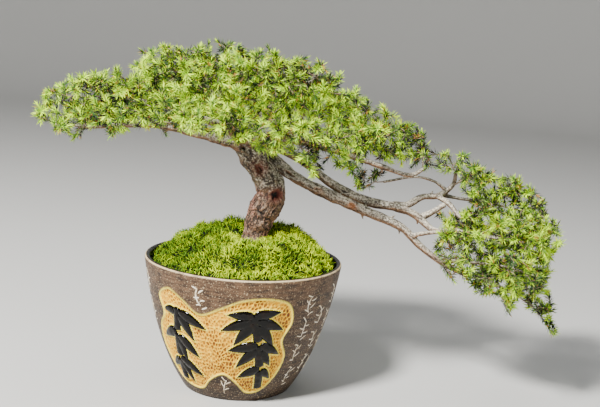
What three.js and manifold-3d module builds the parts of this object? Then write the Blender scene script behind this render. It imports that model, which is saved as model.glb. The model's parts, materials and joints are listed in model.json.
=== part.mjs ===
// Green carpet juniper bonsai in a tall round pot, life size, in millimetres.
// The origin is the centre of the pot's foot, on the surface that it stands on.
// X runs to the right of the front view, Y away from the viewer and Z up.
import * as THREE from 'three';
import { mergeVertices } from 'three/addons/utils/BufferGeometryUtils.js';
import Module from 'manifold-3d';

const wasm = await Module();
wasm.setup();

// Pot: its height, radii, wall and drainage
const RIM_HEIGHT = 124;
const RIM_RADIUS = 92.3;
const BELLY_RADIUS = 80;
const BELLY_HEIGHT = 42;
const FOOT_RADIUS = 50.5;
const RIM_THICKNESS = 5;
const WALL_THICKNESS = 6.5;
const FLOOR_THICKNESS = 8;
const DRAIN_OFFSET = 24;
const DRAIN_RADIUS = 5;
const DRAIN_CHANNEL_WIDTH = 6;
const DRAIN_CHANNEL_DEPTH = 2;
const SCREEN_SIZE = 17;
const SCREEN_THICKNESS = 1.2;
const SCREEN_HOLE = 5;
const POT_SIDES = 32;

// Filling: the soil's level and the mound of moss on it
const SOIL_LEVEL = 112;
const MOSS_EDGE_LEVEL = 118;
const MOSS_RISE = 33.5;
const MOSS_DIP = 10;
const MOSS_DIP_REACH = 17;
const MOSS_RINGS = 6;

// Gap between pieces that touch
const SEAT = 0.3;

// Needles: three to a whorl, leaning forward off a slim three-sided twig
const NEEDLE_LENGTH = 9;
const NEEDLE_LEAN = THREE.MathUtils.degToRad(46);
const NEEDLE_HALF_WIDTH = 1.5;
const END_NEEDLE = 0.8;
const WHORL_PITCH = 4.7;
const TWIG_RADIUS = 1.2;
const BARE_SHARE = 0.36;
const BARE_STEP = 12;

// Side twigs stand off each twig by this angle and are this long
const SIDE_TWIG_LEAN = THREE.MathUtils.degToRad(52);
const SIDE_TWIG_LENGTH = 15;
const SIDE_TWIG_SPACING = 18;
const FORK_SHARE = 0.42;
const TWIG_ROOM = 1;

const UP = new THREE.Vector3(0, 0, 1);

// Limbs, each a list of [x, y, z, radius] from inside the wood that carries it to its tip
const LIMBS = {
  trunk: [
    [9, -4, 92, 11], [10, -4, 145, 11.6], [14, -4, 163, 14.6], [22, -3, 186, 13.6],
    [15, -1, 202, 12.8], [3, 2, 218, 13.6], [-7, 5, 235, 11], [-11, 6, 243, 7],
  ],
  leader_left: [[-5, 4, 230, 9], [-15, 4, 249, 6.4], [-36, 0, 272, 3.8], [-53, 0, 293, 2]],
  leader_right: [
    [-5, 6, 230, 9], [3, 8, 248, 6.2], [16, 10, 264, 4.6], [31, 8, 280, 3.6], [53, 2, 291, 2],
  ],
  upper_right: [
    [-1, 6, 229, 7.5], [22, 2, 237, 5.2], [46, -2, 237, 4.3], [92, -8, 227, 3.2],
    [121, -6, 219, 2.6], [150, -2, 212, 2], [163, 0, 219, 1.7],
  ],
  lower_cascade: [
    [-3, 12, 230, 7.8], [11, 19, 223, 6.4], [40, 13, 202, 5.6], [77, 5, 187, 5], [113, 1, 174, 4.5],
    [147, -1, 161, 4], [163, -3, 147, 3.4], [184, -5, 133, 2.8], [210, -6, 122, 2.3],
    [226, -6, 119, 2], [262, -8, 104, 1.4],
  ],
  upper_cascade: [
    [-5, 12, 231, 7.5], [14, 20, 230, 5.2], [47, 24, 216, 4.1], [80, 18, 195, 4.3],
    [113, 13, 182, 4.8], [144, 9, 179, 4.3],
  ],
  fork_up: [
    [138, 10, 180, 4.2], [150, 12, 181, 3.3], [165, 18, 189, 3], [180, 20, 191, 3],
    [194, 25, 202, 2.3], [195, 22, 215, 1.8],
  ],
  fork_down: [[178, 20, 191, 2.7], [190, 12, 185, 2.5], [200, 0, 174, 1.8]],
  fan_mid: [
    [138, 10, 180, 4.2], [158, 2, 174, 3.7], [175, -9, 163, 2.9], [194, -16, 165, 2.3],
    [213, -18, 163, 2], [262, -12, 157, 1.3],
  ],
  cut_stub: [[162, 0, 172, 3], [172, 2, 177, 2.5], [185, 7, 185, 2.7]],
  spur: [[156, -2, 154, 2.8], [162, -8, 158, 2.2], [178, -26, 165, 1.7]],
  inner_twig: [
    [188, 23, 196, 1.9], [176, 20, 204, 1.5], [158, 17, 208, 1.4], [126, 10, 202, 1.2],
  ],
  left_arm: [
    [-1, 3, 226, 8.5], [-17, -4, 232, 6.4], [-43, -10, 237, 4.4], [-79, -6, 242, 3.2],
    [-119, 0, 240, 2.4], [-150, 3, 236, 1.8], [-172, 5, 237, 1.3],
  ],
  left_back: [
    [-8, 8, 238, 6.5], [-35, 16, 247, 4.4], [-84, 24, 258, 2.8], [-130, 20, 263, 2],
    [-162, 13, 262, 1.4],
  ],
  back_left: [[-8, 10, 238, 6.5], [-48, 52, 260, 3.6], [-80, 66, 262, 2.3]],
  back_right: [[-5, 12, 236, 6.5], [21, 58, 257, 3.6], [58, 74, 255, 2.3]],
  front_left: [[-7, -2, 234, 6], [-23, -44, 251, 3.4], [-38, -58, 256, 2.3]],
  front_right: [[-2, -2, 232, 6], [35, -42, 245, 3.4], [60, -54, 241, 2.3]],
  fan_up: [[184, 21, 192, 2.6], [200, 32, 186, 2.1], [228, 38, 184, 1.7], [262, 26, 181, 1.2]],
  fan_low: [[185, -5, 133, 2.4], [201, -22, 138, 1.8], [234, -34, 139, 1.4], [256, -30, 134, 1.1]],
};

// Sprays of needles on each limb: how far along it each one grows, then where its twigs reach to
const SPRAYS = {
  left_arm: [
    [1, [-206, 6, 243], [-176, -12, 230]],
    [0.85, [-159, -30, 255], [-159, -4, 223]],
    [0.68, [-129, -44, 262], [-128, -16, 226]],
    [0.45, [-94, -58, 258], [-70, -30, 233]],
    [0.7, [-161, 34, 239], [-122, 46, 242]],
  ],
  left_back: [
    [1, [-195, 6, 267], [-184, 28, 274]],
    [0.82, [-161, -10, 283], [-152, 22, 286]],
    [0.66, [-130, 4, 294], [-112, -30, 279]],
    [0.6, [-147, 50, 269], [-114, 60, 275]],
    [0.45, [-110, 8, 300], [-99, 18, 312]],
    [0.35, [-81, -4, 318], [-82, -30, 294]],
  ],
  leader_left: [
    [1, [-70, 30, 313], [-49, 2, 318]],
    [0.7, [-27, 16, 323]],
    [0.6, [-63, -42, 303], [-36, -52, 306]],
    [0.5, [-53, 62, 302], [-8, 62, 298]],
  ],
  leader_right: [
    [0.5, [-4, 10, 316], [20, -6, 320]],
    [0.75, [37, 22, 314], [47, 58, 296]],
    [1, [64, -4, 312], [84, 10, 293]],
    [0.55, [9, -50, 304], [42, -50, 298]],
    [0.92, [99, -18, 282]],
  ],
  back_left: [
    [1, [-110, 84, 268], [-72, 98, 276]],
    [0.6, [-31, 92, 271]],
  ],
  back_right: [
    [0.6, [4, 98, 267], [42, 100, 267]],
    [1, [86, 92, 260], [91, 54, 276]],
  ],
  front_left: [
    [1, [-66, -76, 266], [-46, -90, 256]],
    [0.6, [-18, -92, 266], [2, -70, 262]],
    [0.3, [13, -40, 229]],
  ],
  front_right: [
    [0.6, [24, -86, 260], [53, -84, 259]],
    [1, [88, -66, 250], [68, -84, 246]],
    [0.7, [64, -36, 206]],
  ],
  upper_right: [
    [0.6, [127, 8, 270], [142, -14, 259], [113, -48, 257]],
    [0.6, [117, 46, 255], [146, 34, 231]],
    [0.5, [101, -24, 206]],
    [1, [159, 4, 255], [165, -14, 230]],
  ],
  inner_twig: [
    [1, [102, 1, 194], [118, 2, 213]],
  ],
  fork_up: [
    [1, [182, 14, 237], [205, 22, 235]],
    [0.8, [215, 2, 225], [236, 34, 216]],
  ],
  fan_up: [
    [1, [283, 8, 194], [273, 34, 205]],
    [0.7, [253, 18, 217], [277, 54, 173]],
    [0.5, [248, 66, 184], [217, 58, 188]],
  ],
  fork_down: [
    [1, [210, -34, 184]],
  ],
  fan_mid: [
    [1, [301, -4, 158], [297, 14, 175]],
    [0.6, [231, -52, 183], [260, -48, 168]],
    [0.3, [203, -44, 163], [186, -50, 167]],
    [0.8, [298, 22, 134], [268, 40, 140]],
    [0.4, [227, 40, 152]],
  ],
  fan_low: [
    [0.5, [227, -30, 107], [213, -22, 112]],
    [0.8, [248, -58, 133], [219, -62, 148]],
    [1, [285, -26, 127]],
  ],
  lower_cascade: [
    [1, [299, -8, 71], [299, 6, 98]],
    [0.9, [256, -18, 86]],
    [0.8, [278, 34, 107], [248, 36, 109]],
    [0.66, [200, -26, 116]],
  ],
};

// Repeatable random numbers from 0 to 1
function randomFrom(seed) {
  let state = seed;
  return () => {
    state = (state + 0x6d2b79f5) | 0;
    let mixed = Math.imul(state ^ (state >>> 15), 1 | state);
    mixed = (mixed + Math.imul(mixed ^ (mixed >>> 7), 61 | mixed)) ^ mixed;
    return ((mixed ^ (mixed >>> 14)) >>> 0) / 4294967296;
  };
}

const random = randomFrom(7);

// Closed solids for joining and cutting, and back to a plain geometry
function toSolid(geometry) {
  const bare = geometry.clone();
  bare.deleteAttribute('normal');
  bare.deleteAttribute('uv');
  const merged = mergeVertices(bare, 1e-4);
  const vertProperties = new Float32Array(merged.attributes.position.array);
  const triVerts = new Uint32Array(merged.index.array);
  return new wasm.Manifold(new wasm.Mesh({ numProp: 3, vertProperties, triVerts }));
}

function toGeometry(solid) {
  const mesh = solid.getMesh();
  const geometry = new THREE.BufferGeometry();
  geometry.setAttribute('position', new THREE.BufferAttribute(mesh.vertProperties, 3));
  geometry.setIndex(new THREE.BufferAttribute(mesh.triVerts, 1));
  geometry.computeVertexNormals();
  return geometry;
}

function joined(solids) {
  return solids.reduce((whole, next) => whole.add(next));
}

function largestBody(solid) {
  const bodies = solid.decompose();
  return bodies.reduce((best, body) => (body.volume() > best.volume() ? body : best));
}

function geometryFrom(points, faces) {
  const geometry = new THREE.BufferGeometry();
  const coordinates = points.flatMap((point) => point.toArray());
  geometry.setAttribute('position', new THREE.Float32BufferAttribute(coordinates, 3));
  geometry.setIndex(faces.flat());
  return geometry;
}

// Positions and unturning cross directions at the given shares of a curve
function framesAlong(curve, shares) {
  const start = curve.getTangentAt(0);
  let normal = start.clone().cross(Math.abs(start.z) < 0.9 ? UP : new THREE.Vector3(1, 0, 0));
  return shares.map((share) => {
    const at = curve.getPointAt(share);
    const tangent = curve.getTangentAt(share);
    normal = normal.clone().addScaledVector(tangent, -normal.dot(tangent)).normalize();
    return { at, tangent, normal, binormal: tangent.clone().cross(normal) };
  });
}

function ringPoint(frame, angle, radius) {
  return frame.at.clone()
    .addScaledVector(frame.normal, Math.cos(angle) * radius)
    .addScaledVector(frame.binormal, Math.sin(angle) * radius);
}

// Pot: a flared wall, curved as a quadratic curve from the foot to the rim, on a flat foot.
// Each of its two drain holes has a channel under the foot that leads out to the edge.
function outerRadius(height) {
  const span = RIM_HEIGHT - 3;
  const bend = span - 2 * BELLY_HEIGHT;
  const up = (Math.sqrt(BELLY_HEIGHT ** 2 + bend * height) - BELLY_HEIGHT) / bend;
  return (1 - up) ** 2 * FOOT_RADIUS + 2 * up * (1 - up) * BELLY_RADIUS + up ** 2 * RIM_RADIUS;
}

function innerRadius(height) {
  const share = height / RIM_HEIGHT;
  return outerRadius(height) - THREE.MathUtils.lerp(WALL_THICKNESS, RIM_THICKNESS, share);
}

const INNER_HEIGHTS = [20, 56, SOIL_LEVEL];

function latheOf(profile) {
  const geometry = new THREE.LatheGeometry(profile.map(([r, z]) => new THREE.Vector2(r, z)), POT_SIDES);
  return geometry.rotateX(Math.PI / 2);
}

function drainChannel(side) {
  const length = FOOT_RADIUS + 10 - DRAIN_OFFSET;
  return new THREE.BoxGeometry(length, DRAIN_CHANNEL_WIDTH, 2 * DRAIN_CHANNEL_DEPTH)
    .translate(side * (DRAIN_OFFSET + length / 2), 0, 0);
}

function drainHole(side) {
  return new THREE.CylinderGeometry(DRAIN_RADIUS, DRAIN_RADIUS, 4 * FLOOR_THICKNESS, 20)
    .rotateX(Math.PI / 2)
    .translate(side * DRAIN_OFFSET, 0, 0);
}

function potSolid() {
  const lip = RIM_THICKNESS / 2;
  const outer = [1, 22, 50, 84, RIM_HEIGHT - 3].map((z) => [outerRadius(z), z]);
  const inner = [...INNER_HEIGHTS].reverse().map((z) => [innerRadius(z), z]);
  const profile = [
    [0, 0], [FOOT_RADIUS - 1, 0], ...outer,
    [RIM_RADIUS - 0.8, RIM_HEIGHT - 0.8], [RIM_RADIUS - lip, RIM_HEIGHT],
    [RIM_RADIUS - RIM_THICKNESS + 0.5, RIM_HEIGHT - 1], ...inner,
    [FOOT_RADIUS - 4, FLOOR_THICKNESS], [0, FLOOR_THICKNESS],
  ];
  const cuts = [1, -1].flatMap((side) => [drainChannel(side), drainHole(side)]);
  return cuts.reduce((pot, cut) => pot.subtract(toSolid(cut)), toSolid(latheOf(profile)));
}

// Drain screens: a small square mesh over each hole, under the soil
function drainScreenSolid(side, grow = 0) {
  const middle = FLOOR_THICKNESS + SEAT + SCREEN_THICKNESS / 2;
  const place = (geometry, x, y) => geometry.translate(side * DRAIN_OFFSET + x, y, middle);
  const size = SCREEN_SIZE + 2 * grow;
  const plate = toSolid(place(new THREE.BoxGeometry(size, size, SCREEN_THICKNESS + 2 * grow), 0, 0));
  if (grow > 0) return plate;
  const step = SCREEN_SIZE / 4.5;
  const holes = [-step, step].flatMap((x) => [-step, step].map((y) => (
    toSolid(place(new THREE.BoxGeometry(SCREEN_HOLE, SCREEN_HOLE, 4 * SCREEN_THICKNESS), x, y)))));
  return plate.subtract(joined(holes));
}

// Wood: every limb is a tapering, slightly fluted tube, and all of them are one piece.
// Thicker limbs have more sides: [least radius, sides].
const LIMB_SIDES = [[10, 12], [5, 7], [2.4, 6], [0, 4]];
const LIMB_STEP = 13;

function limbCurve(name) {
  const points = LIMBS[name].map(([x, y, z]) => new THREE.Vector3(x, y, z));
  return new THREE.CatmullRomCurve3(points, false, 'centripetal');
}

function limbRadius(name, share) {
  const points = LIMBS[name];
  const spans = points.slice(1).map((to, i) => (
    Math.hypot(to[0] - points[i][0], to[1] - points[i][1], to[2] - points[i][2])));
  let left = share * spans.reduce((total, span) => total + span);
  for (let i = 0; i < spans.length; i += 1) {
    if (left <= spans[i]) return THREE.MathUtils.lerp(points[i][3], points[i + 1][3], left / spans[i]);
    left -= spans[i];
  }
  return points.at(-1)[3];
}

function limbGeometry(name, grow = 0) {
  const curve = limbCurve(name);
  const thick = limbRadius(name, 0.3);
  const sides = LIMB_SIDES.find(([least]) => thick > least)[1];
  const steps = Math.max(3, Math.round(curve.getLength() / Math.max(LIMB_STEP, 1.2 * thick)));
  const shares = Array.from({ length: steps + 1 }, (_, i) => i / steps);
  const frames = framesAlong(curve, shares);
  const points = [];
  const faces = [];
  frames.forEach((frame, i) => {
    const radius = limbRadius(name, shares[i]);
    for (let k = 0; k < sides; k += 1) {
      const angle = (2 * Math.PI * k) / sides;
      const flute = 1 + 0.05 * Math.sin(3 * angle + 0.7 * i) + 0.04 * Math.sin(2 * angle - 0.5 * i);
      const shift = i === 0 ? -grow : i === steps ? grow : 0;
      points.push(ringPoint(frame, angle, radius * flute + grow).addScaledVector(frame.tangent, shift));
    }
  });
  const tip = frames.at(-1);
  points.push(frames[0].at.clone().addScaledVector(frames[0].tangent, -grow));
  points.push(tip.at.clone().addScaledVector(tip.tangent, grow + 0.3 * limbRadius(name, 1)));
  const last = steps * sides;
  for (let k = 0; k < sides; k += 1) {
    const next = (k + 1) % sides;
    faces.push([points.length - 2, next, k], [points.length - 1, last + k, last + next]);
    for (let i = 0; i < steps; i += 1) {
      const low = i * sides;
      const high = low + sides;
      faces.push([low + k, low + next, high + next], [low + k, high + next, high + k]);
    }
  }
  return geometryFrom(points, faces);
}

function woodSolid(grow = 0) {
  return joined(Object.keys(LIMBS).map((name) => toSolid(limbGeometry(name, grow))));
}

// Soil fills the pot, over the screens, with a plain hole where the trunk stands in it
function soilSolid(grownWood) {
  const wall = INNER_HEIGHTS.map((z) => [innerRadius(z) - SEAT, z]);
  const low = FLOOR_THICKNESS + SEAT;
  const body = toSolid(latheOf([[0, low], [FOOT_RADIUS - 4 - SEAT, low], ...wall, [0, SOIL_LEVEL]]));
  const screens = [1, -1].map((side) => drainScreenSolid(side, SEAT));
  return [...screens, grownWood].reduce((soil, cut) => soil.subtract(cut), body);
}

// Moss: a clumpy mound that dips round the trunk and is steepest at the pot's wall
function mossHeight(x, y) {
  const reach = Math.min(1, Math.hypot(x, y) / innerRadius(SOIL_LEVEL));
  const dome = (1 - reach ** 3) ** 0.65;
  const lean = 1 + 0.12 * (x / RIM_RADIUS) + 0.2 * (y / RIM_RADIUS);
  const [trunkX, trunkY] = LIMBS.trunk[1];
  const dip = MOSS_DIP * Math.exp(-((x - trunkX) ** 2 + (y - trunkY) ** 2) / (2 * MOSS_DIP_REACH ** 2));
  const clumps = 1.6 * Math.sin(x / 6.1 + 1) * Math.cos(y / 5.3) + 1.1 * Math.sin((x + y) / 3.9);
  return MOSS_EDGE_LEVEL + dome * (MOSS_RISE * lean - dip + clumps);
}

function mossSolid(grownWood) {
  const edge = innerRadius(SOIL_LEVEL) - SEAT;
  const floor = SOIL_LEVEL + SEAT;
  const points = [new THREE.Vector3(0, 0, mossHeight(0, 0)), new THREE.Vector3(0, 0, floor)];
  const faces = [];
  for (let ring = 1; ring <= MOSS_RINGS + 1; ring += 1) {
    const radius = edge * Math.sin((Math.PI / 2) * Math.min(1, ring / MOSS_RINGS) ** 0.8);
    for (let k = 0; k < POT_SIDES; k += 1) {
      const angle = (2 * Math.PI * k) / POT_SIDES;
      const x = radius * Math.cos(angle);
      const y = radius * Math.sin(angle);
      points.push(new THREE.Vector3(x, y, ring > MOSS_RINGS ? floor : mossHeight(x, y)));
    }
  }
  const first = (ring) => 2 + (ring - 1) * POT_SIDES;
  for (let k = 0; k < POT_SIDES; k += 1) {
    const next = (k + 1) % POT_SIDES;
    faces.push([0, first(1) + k, first(1) + next]);
    faces.push([1, first(MOSS_RINGS + 1) + next, first(MOSS_RINGS + 1) + k]);
    for (let ring = 1; ring <= MOSS_RINGS; ring += 1) {
      const inner = first(ring);
      const outer = first(ring + 1);
      faces.push([inner + k, outer + k, outer + next], [inner + k, outer + next, inner + next]);
    }
  }
  return toSolid(geometryFrom(points, faces)).subtract(grownWood);
}

// Straight pieces of wood, twig and needle that nothing else may come near
const taken = [];

function closestShares(a, b) {
  const da = a.to.clone().sub(a.from);
  const db = b.to.clone().sub(b.from);
  const between = a.from.clone().sub(b.from);
  const aa = da.dot(da);
  const bb = db.dot(db);
  const ab = da.dot(db);
  const ac = da.dot(between);
  const bc = db.dot(between);
  const span = aa * bb - ab * ab;
  let s = span > 1e-9 ? THREE.MathUtils.clamp((ab * bc - ac * bb) / span, 0, 1) : 0;
  const t = THREE.MathUtils.clamp((ab * s + bc) / bb, 0, 1);
  s = THREE.MathUtils.clamp((ab * t - ac) / aa, 0, 1);
  return [s, t];
}

function clearance(a, b) {
  const reach = a.from.distanceTo(a.to) + b.from.distanceTo(b.to) + a.thick + b.thick + 4;
  if (a.from.distanceTo(b.from) > reach) return Infinity;
  const [s, t] = closestShares(a, b);
  const gap = a.from.clone().lerp(a.to, s).distanceTo(b.from.clone().lerp(b.to, t));
  return gap - THREE.MathUtils.lerp(a.thick, a.thin, s) - THREE.MathUtils.lerp(b.thick, b.thin, t);
}

function roomFor(piece, ignore) {
  const others = taken.filter((other) => !ignore(other));
  return others.reduce((least, other) => Math.min(least, clearance(piece, other)), Infinity);
}

function piecesAlong(curve, radiusAt, step, owner) {
  const count = Math.max(1, Math.round(curve.getLength() / step));
  return Array.from({ length: count }, (_, i) => ({
    from: curve.getPointAt(i / count),
    to: curve.getPointAt((i + 1) / count),
    thick: radiusAt(i / count),
    thin: radiusAt((i + 1) / count),
    ...owner,
  }));
}

for (const name of Object.keys(LIMBS)) {
  const curve = limbCurve(name);
  taken.push(...piecesAlong(curve, (share) => 1.08 * limbRadius(name, share), 8, {}));
}

// Twigs: a main twig from the limb to each reach, then side twigs to left and right of it
function bentTwig(from, to, sag) {
  const middle = from.clone().lerp(to, 0.45).addScaledVector(UP, sag);
  return new THREE.QuadraticBezierCurve3(from, middle, to);
}

function leaning(tangent, out, angle) {
  return tangent.clone().multiplyScalar(Math.cos(angle)).addScaledVector(out, Math.sin(angle));
}

function shortened(from, reach) {
  const run = reach.clone().sub(from);
  return from.clone().addScaledVector(run, 1 - (END_NEEDLE * NEEDLE_LENGTH) / run.length());
}

// Tries a few ways for a twig and keeps the one with the most room, past its first stretch
function roomiestTwig(makeCurve, owner, stretch) {
  let best = { room: -Infinity };
  for (let attempt = 0; attempt < 24 && best.room < TWIG_ROOM; attempt += 1) {
    const curve = makeCurve(attempt);
    const pieces = piecesAlong(curve, () => TWIG_RADIUS, 4, owner);
    const free = pieces.filter((piece) => piece.from.distanceTo(curve.getPointAt(0)) > stretch);
    const room = Math.min(...free.map((piece) => roomFor(piece, (other) => other.twig === owner.parent)));
    if (room > best.room) best = { room, curve, pieces };
  }
  return best;
}

function scatter(size) {
  return new THREE.Vector3(random() - 0.5, random() - 0.5, random() - 0.5).multiplyScalar(2 * size);
}

function plantSpray(limb, number, [along, ...reaches]) {
  const spray = `${limb}_${number}`;
  const root = limbCurve(limb).getPointAt(Math.min(along, 0.985));
  const twigs = [];
  reaches.forEach((reach, i) => {
    const target = new THREE.Vector3(...reach);
    const from = i === 0 ? root : twigs[0].curve.getPointAt(FORK_SHARE);
    const end = shortened(from, target);
    const bend = (target.z < from.z - 8 ? 0.22 : -0.1) * from.distanceTo(end);
    const owner = { twig: `${spray}.${i}`, parent: `${spray}.0` };
    const stretch = i === 0 ? 2 * limbRadius(limb, along) + 4 : 6;
    const way = roomiestTwig((attempt) => (
      bentTwig(from, end.clone().add(scatter(0.5 * attempt)), bend + (random() - 0.5) * attempt)
    ), owner, stretch);
    taken.push(...way.pieces);
    twigs.push({ ...owner, curve: way.curve, bare: i === 0 ? BARE_SHARE : 0.25 });
  });
  return { spray, twigs };
}

function addSideTwigs(plan) {
  for (const twig of [...plan.twigs]) {
    const length = twig.curve.getLength();
    const count = Math.floor((length * (1 - twig.bare)) / SIDE_TWIG_SPACING);
    for (let i = 0; i < count; i += 1) {
      const share = twig.bare + ((i + 0.35) * SIDE_TWIG_SPACING) / length;
      const from = twig.curve.getPointAt(share);
      const tangent = twig.curve.getTangentAt(share);
      const side = tangent.clone().cross(UP).normalize();
      const hand = i % 2 ? 1 : -1;
      const owner = { twig: `${twig.twig}.${i}`, parent: twig.twig };
      const found = roomiestTwig((attempt) => {
        const roll = (random() - 0.3) * 0.9 + (attempt % 2 ? -1 : 1) * attempt * 0.12;
        const out = side.clone().multiplyScalar(hand * Math.cos(roll))
          .addScaledVector(side.clone().cross(tangent), Math.sin(roll));
        const run = leaning(tangent, out, SIDE_TWIG_LEAN);
        const end = from.clone().addScaledVector(run, SIDE_TWIG_LENGTH * (0.8 + 0.4 * random()));
        return bentTwig(from, end, -1);
      }, owner, 5);
      if (found.room > TWIG_ROOM) {
        taken.push(...found.pieces);
        plan.twigs.push({ ...owner, curve: found.curve, bare: 0.3 });
      }
    }
  }
}

// Needled twig: three-cornered rings, each turned half a side from the last, so that the band between
// two of them is six triangles. Every second triangle rises into a needle where there is room for it.
function needledTwig(twig) {
  const length = twig.curve.getLength();
  const bare = twig.bare * length;
  const whorls = Math.max(1, Math.round((length - bare) / WHORL_PITCH));
  const bareRings = Math.max(1, Math.round(bare / BARE_STEP));
  const shares = [
    ...Array.from({ length: bareRings }, (_, i) => (i * twig.bare) / bareRings),
    ...Array.from({ length: whorls + 1 }, (_, i) => twig.bare + (i * (1 - twig.bare)) / whorls),
  ];
  const frames = framesAlong(twig.curve, shares);
  const phase = random() * 2 * Math.PI;
  const corner = (i, k) => phase + i * (Math.PI / 3) + k * (2 * Math.PI / 3);
  const points = frames.flatMap((frame, i) => (
    [0, 1, 2].map((k) => ringPoint(frame, corner(i, k), TWIG_RADIUS))));
  const faces = [[0, 2, 1]];
  for (let i = 0; i + 1 < frames.length; i += 1) {
    for (let k = 0; k < 3; k += 1) {
      const next = (k + 1) % 3;
      const [a, b, c, d] = [3 * i + k, 3 * i + next, 3 * i + 3 + k, 3 * i + 3 + next];
      faces.push([b, d, c]);
      const base = [a, b, c].map((n) => points[n]);
      const tip = i < bareRings ? null : needleTip(twig, frames[i], corner(i, k + 0.5), base);
      if (tip) {
        points.push(tip);
        const top = points.length - 1;
        faces.push([a, b, top], [b, c, top], [c, a, top]);
      } else faces.push([a, b, c]);
    }
  }
  const last = 3 * (frames.length - 1);
  const end = frames.at(-1);
  points.push(end.at.clone().addScaledVector(end.tangent, END_NEEDLE * NEEDLE_LENGTH));
  const top = points.length - 1;
  faces.push([last, last + 1, top], [last + 1, last + 2, top], [last + 2, last, top]);
  return geometryFrom(points, faces);
}

function needleTip(twig, frame, angle, corners) {
  const out = ringPoint(frame, angle, 1).sub(frame.at);
  const base = corners[0].clone().add(corners[1]).add(corners[2]).divideScalar(3);
  const way = leaning(frame.tangent, out, NEEDLE_LEAN);
  const tip = base.clone().addScaledVector(way, NEEDLE_LENGTH * (0.85 + 0.3 * random()));
  const needle = { from: base, to: tip, thick: NEEDLE_HALF_WIDTH, thin: 0.1, twig: twig.twig };
  if (roomFor(needle, (other) => other.twig === twig.twig) < SEAT) return null;
  taken.push(needle);
  return tip;
}

const plans = Object.entries(SPRAYS).flatMap(([limb, sprays]) => (
  sprays.map((spray, i) => plantSpray(limb, i + 1, spray))));
plans.forEach(addSideTwigs);

// Materials by what each piece is made of
const MATERIALS = {
  pot: new THREE.MeshStandardMaterial({ color: '#7a685c', roughness: 0.7, metalness: 0 }),
  screen: new THREE.MeshStandardMaterial({ color: '#23252a', roughness: 0.6, metalness: 0 }),
  soil: new THREE.MeshStandardMaterial({ color: '#3b2a20', roughness: 0.95, metalness: 0 }),
  moss: new THREE.MeshStandardMaterial({ color: '#86a832', roughness: 0.9, metalness: 0 }),
  wood: new THREE.MeshStandardMaterial({ color: '#94826f', roughness: 0.85, metalness: 0 }),
  needles: new THREE.MeshStandardMaterial({ color: '#93b03c', roughness: 0.55, metalness: 0 }),
};

const bonsai = new THREE.Group();

function addPiece(name, solid, material) {
  const mesh = new THREE.Mesh(toGeometry(solid), material);
  mesh.name = name;
  bonsai.add(mesh);
}

const grownWood = woodSolid(SEAT);
addPiece('pot', potSolid(), MATERIALS.pot);
addPiece('drain_screen_right', drainScreenSolid(1), MATERIALS.screen);
addPiece('drain_screen_left', drainScreenSolid(-1), MATERIALS.screen);
addPiece('soil', soilSolid(grownWood), MATERIALS.soil);
addPiece('moss_mound', mossSolid(grownWood), MATERIALS.moss);
addPiece('trunk_and_branches', woodSolid(), MATERIALS.wood);
for (const plan of plans) {
  const needled = joined(plan.twigs.map((twig) => toSolid(needledTwig(twig))));
  addPiece(`spray_${plan.spray}`, largestBody(needled.subtract(grownWood)), MATERIALS.needles);
}

export default bonsai;
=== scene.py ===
"""Green carpet juniper bonsai in a tall glazed pot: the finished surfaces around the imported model.

Tables and shape rules are in millimetres, and every mesh and setting is in metres.
The origin is the centre of the pot's foot. X runs right, Y away from the viewer and Z up.
"""

import json
import math
from functools import partial

import bpy
import numpy as np
from mathutils import Matrix, Vector, kdtree, noise
from mathutils.bvhtree import BVHTree

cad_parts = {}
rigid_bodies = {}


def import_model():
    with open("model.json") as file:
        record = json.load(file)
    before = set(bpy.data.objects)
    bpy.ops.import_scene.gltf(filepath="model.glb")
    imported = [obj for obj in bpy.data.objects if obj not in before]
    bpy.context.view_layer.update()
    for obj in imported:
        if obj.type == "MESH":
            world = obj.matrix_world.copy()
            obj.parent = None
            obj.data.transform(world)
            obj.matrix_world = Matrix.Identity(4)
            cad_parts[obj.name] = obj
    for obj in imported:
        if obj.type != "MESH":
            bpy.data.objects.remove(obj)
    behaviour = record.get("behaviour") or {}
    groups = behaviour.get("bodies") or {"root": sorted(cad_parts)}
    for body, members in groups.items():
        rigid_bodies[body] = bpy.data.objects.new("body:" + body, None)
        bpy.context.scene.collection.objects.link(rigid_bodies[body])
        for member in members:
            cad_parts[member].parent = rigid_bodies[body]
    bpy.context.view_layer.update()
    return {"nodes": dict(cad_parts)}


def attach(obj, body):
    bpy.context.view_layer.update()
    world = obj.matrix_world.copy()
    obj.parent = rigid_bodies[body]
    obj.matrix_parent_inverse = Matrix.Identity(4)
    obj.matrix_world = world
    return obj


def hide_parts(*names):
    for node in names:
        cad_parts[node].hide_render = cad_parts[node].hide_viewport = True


bl_info = {
    "name": "Juniper Bonsai",
    "version": (1, 0, 0),
    "blender": (4, 5, 0),
    "location": "3D View > Sidebar > Bonsai",
    "description": "Builds the pot, moss, bark and needles of a juniper bonsai",
    "category": "Add Mesh",
}

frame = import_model()

MM = 0.001
# Noise vectors come from a random seed unless one is set, and every run has to give the same object
NOISE_SEED = 7

# Pot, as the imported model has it
RIM_HEIGHT = 124
RIM_RADIUS = 92.3
BELLY_RADIUS = 80
BELLY_HEIGHT = 42
FOOT_RADIUS = 50.5
RIM_THICKNESS = 5
WALL_THICKNESS = 6.5
FLOOR_THICKNESS = 8
DRAIN_OFFSET = 24
DRAIN_RADIUS = 5
DRAIN_CHANNEL_WIDTH = 6
DRAIN_CHANNEL_DEPTH = 2
SOIL_LEVEL = 112

# Moss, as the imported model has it
MOSS_EDGE_LEVEL = 118
MOSS_RISE = 33.5
MOSS_DIP = 10
MOSS_DIP_REACH = 17
MOSS_WALL_GAP = 3.6
MOSS_CUSHION = 17
MOSS_CUSHION_RISE = 4.2

# Bark: the most triangles, and how much longer its fibres are than wide
WOOD_TRIANGLES = 118000
FIBRE_STRETCH = 7

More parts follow.
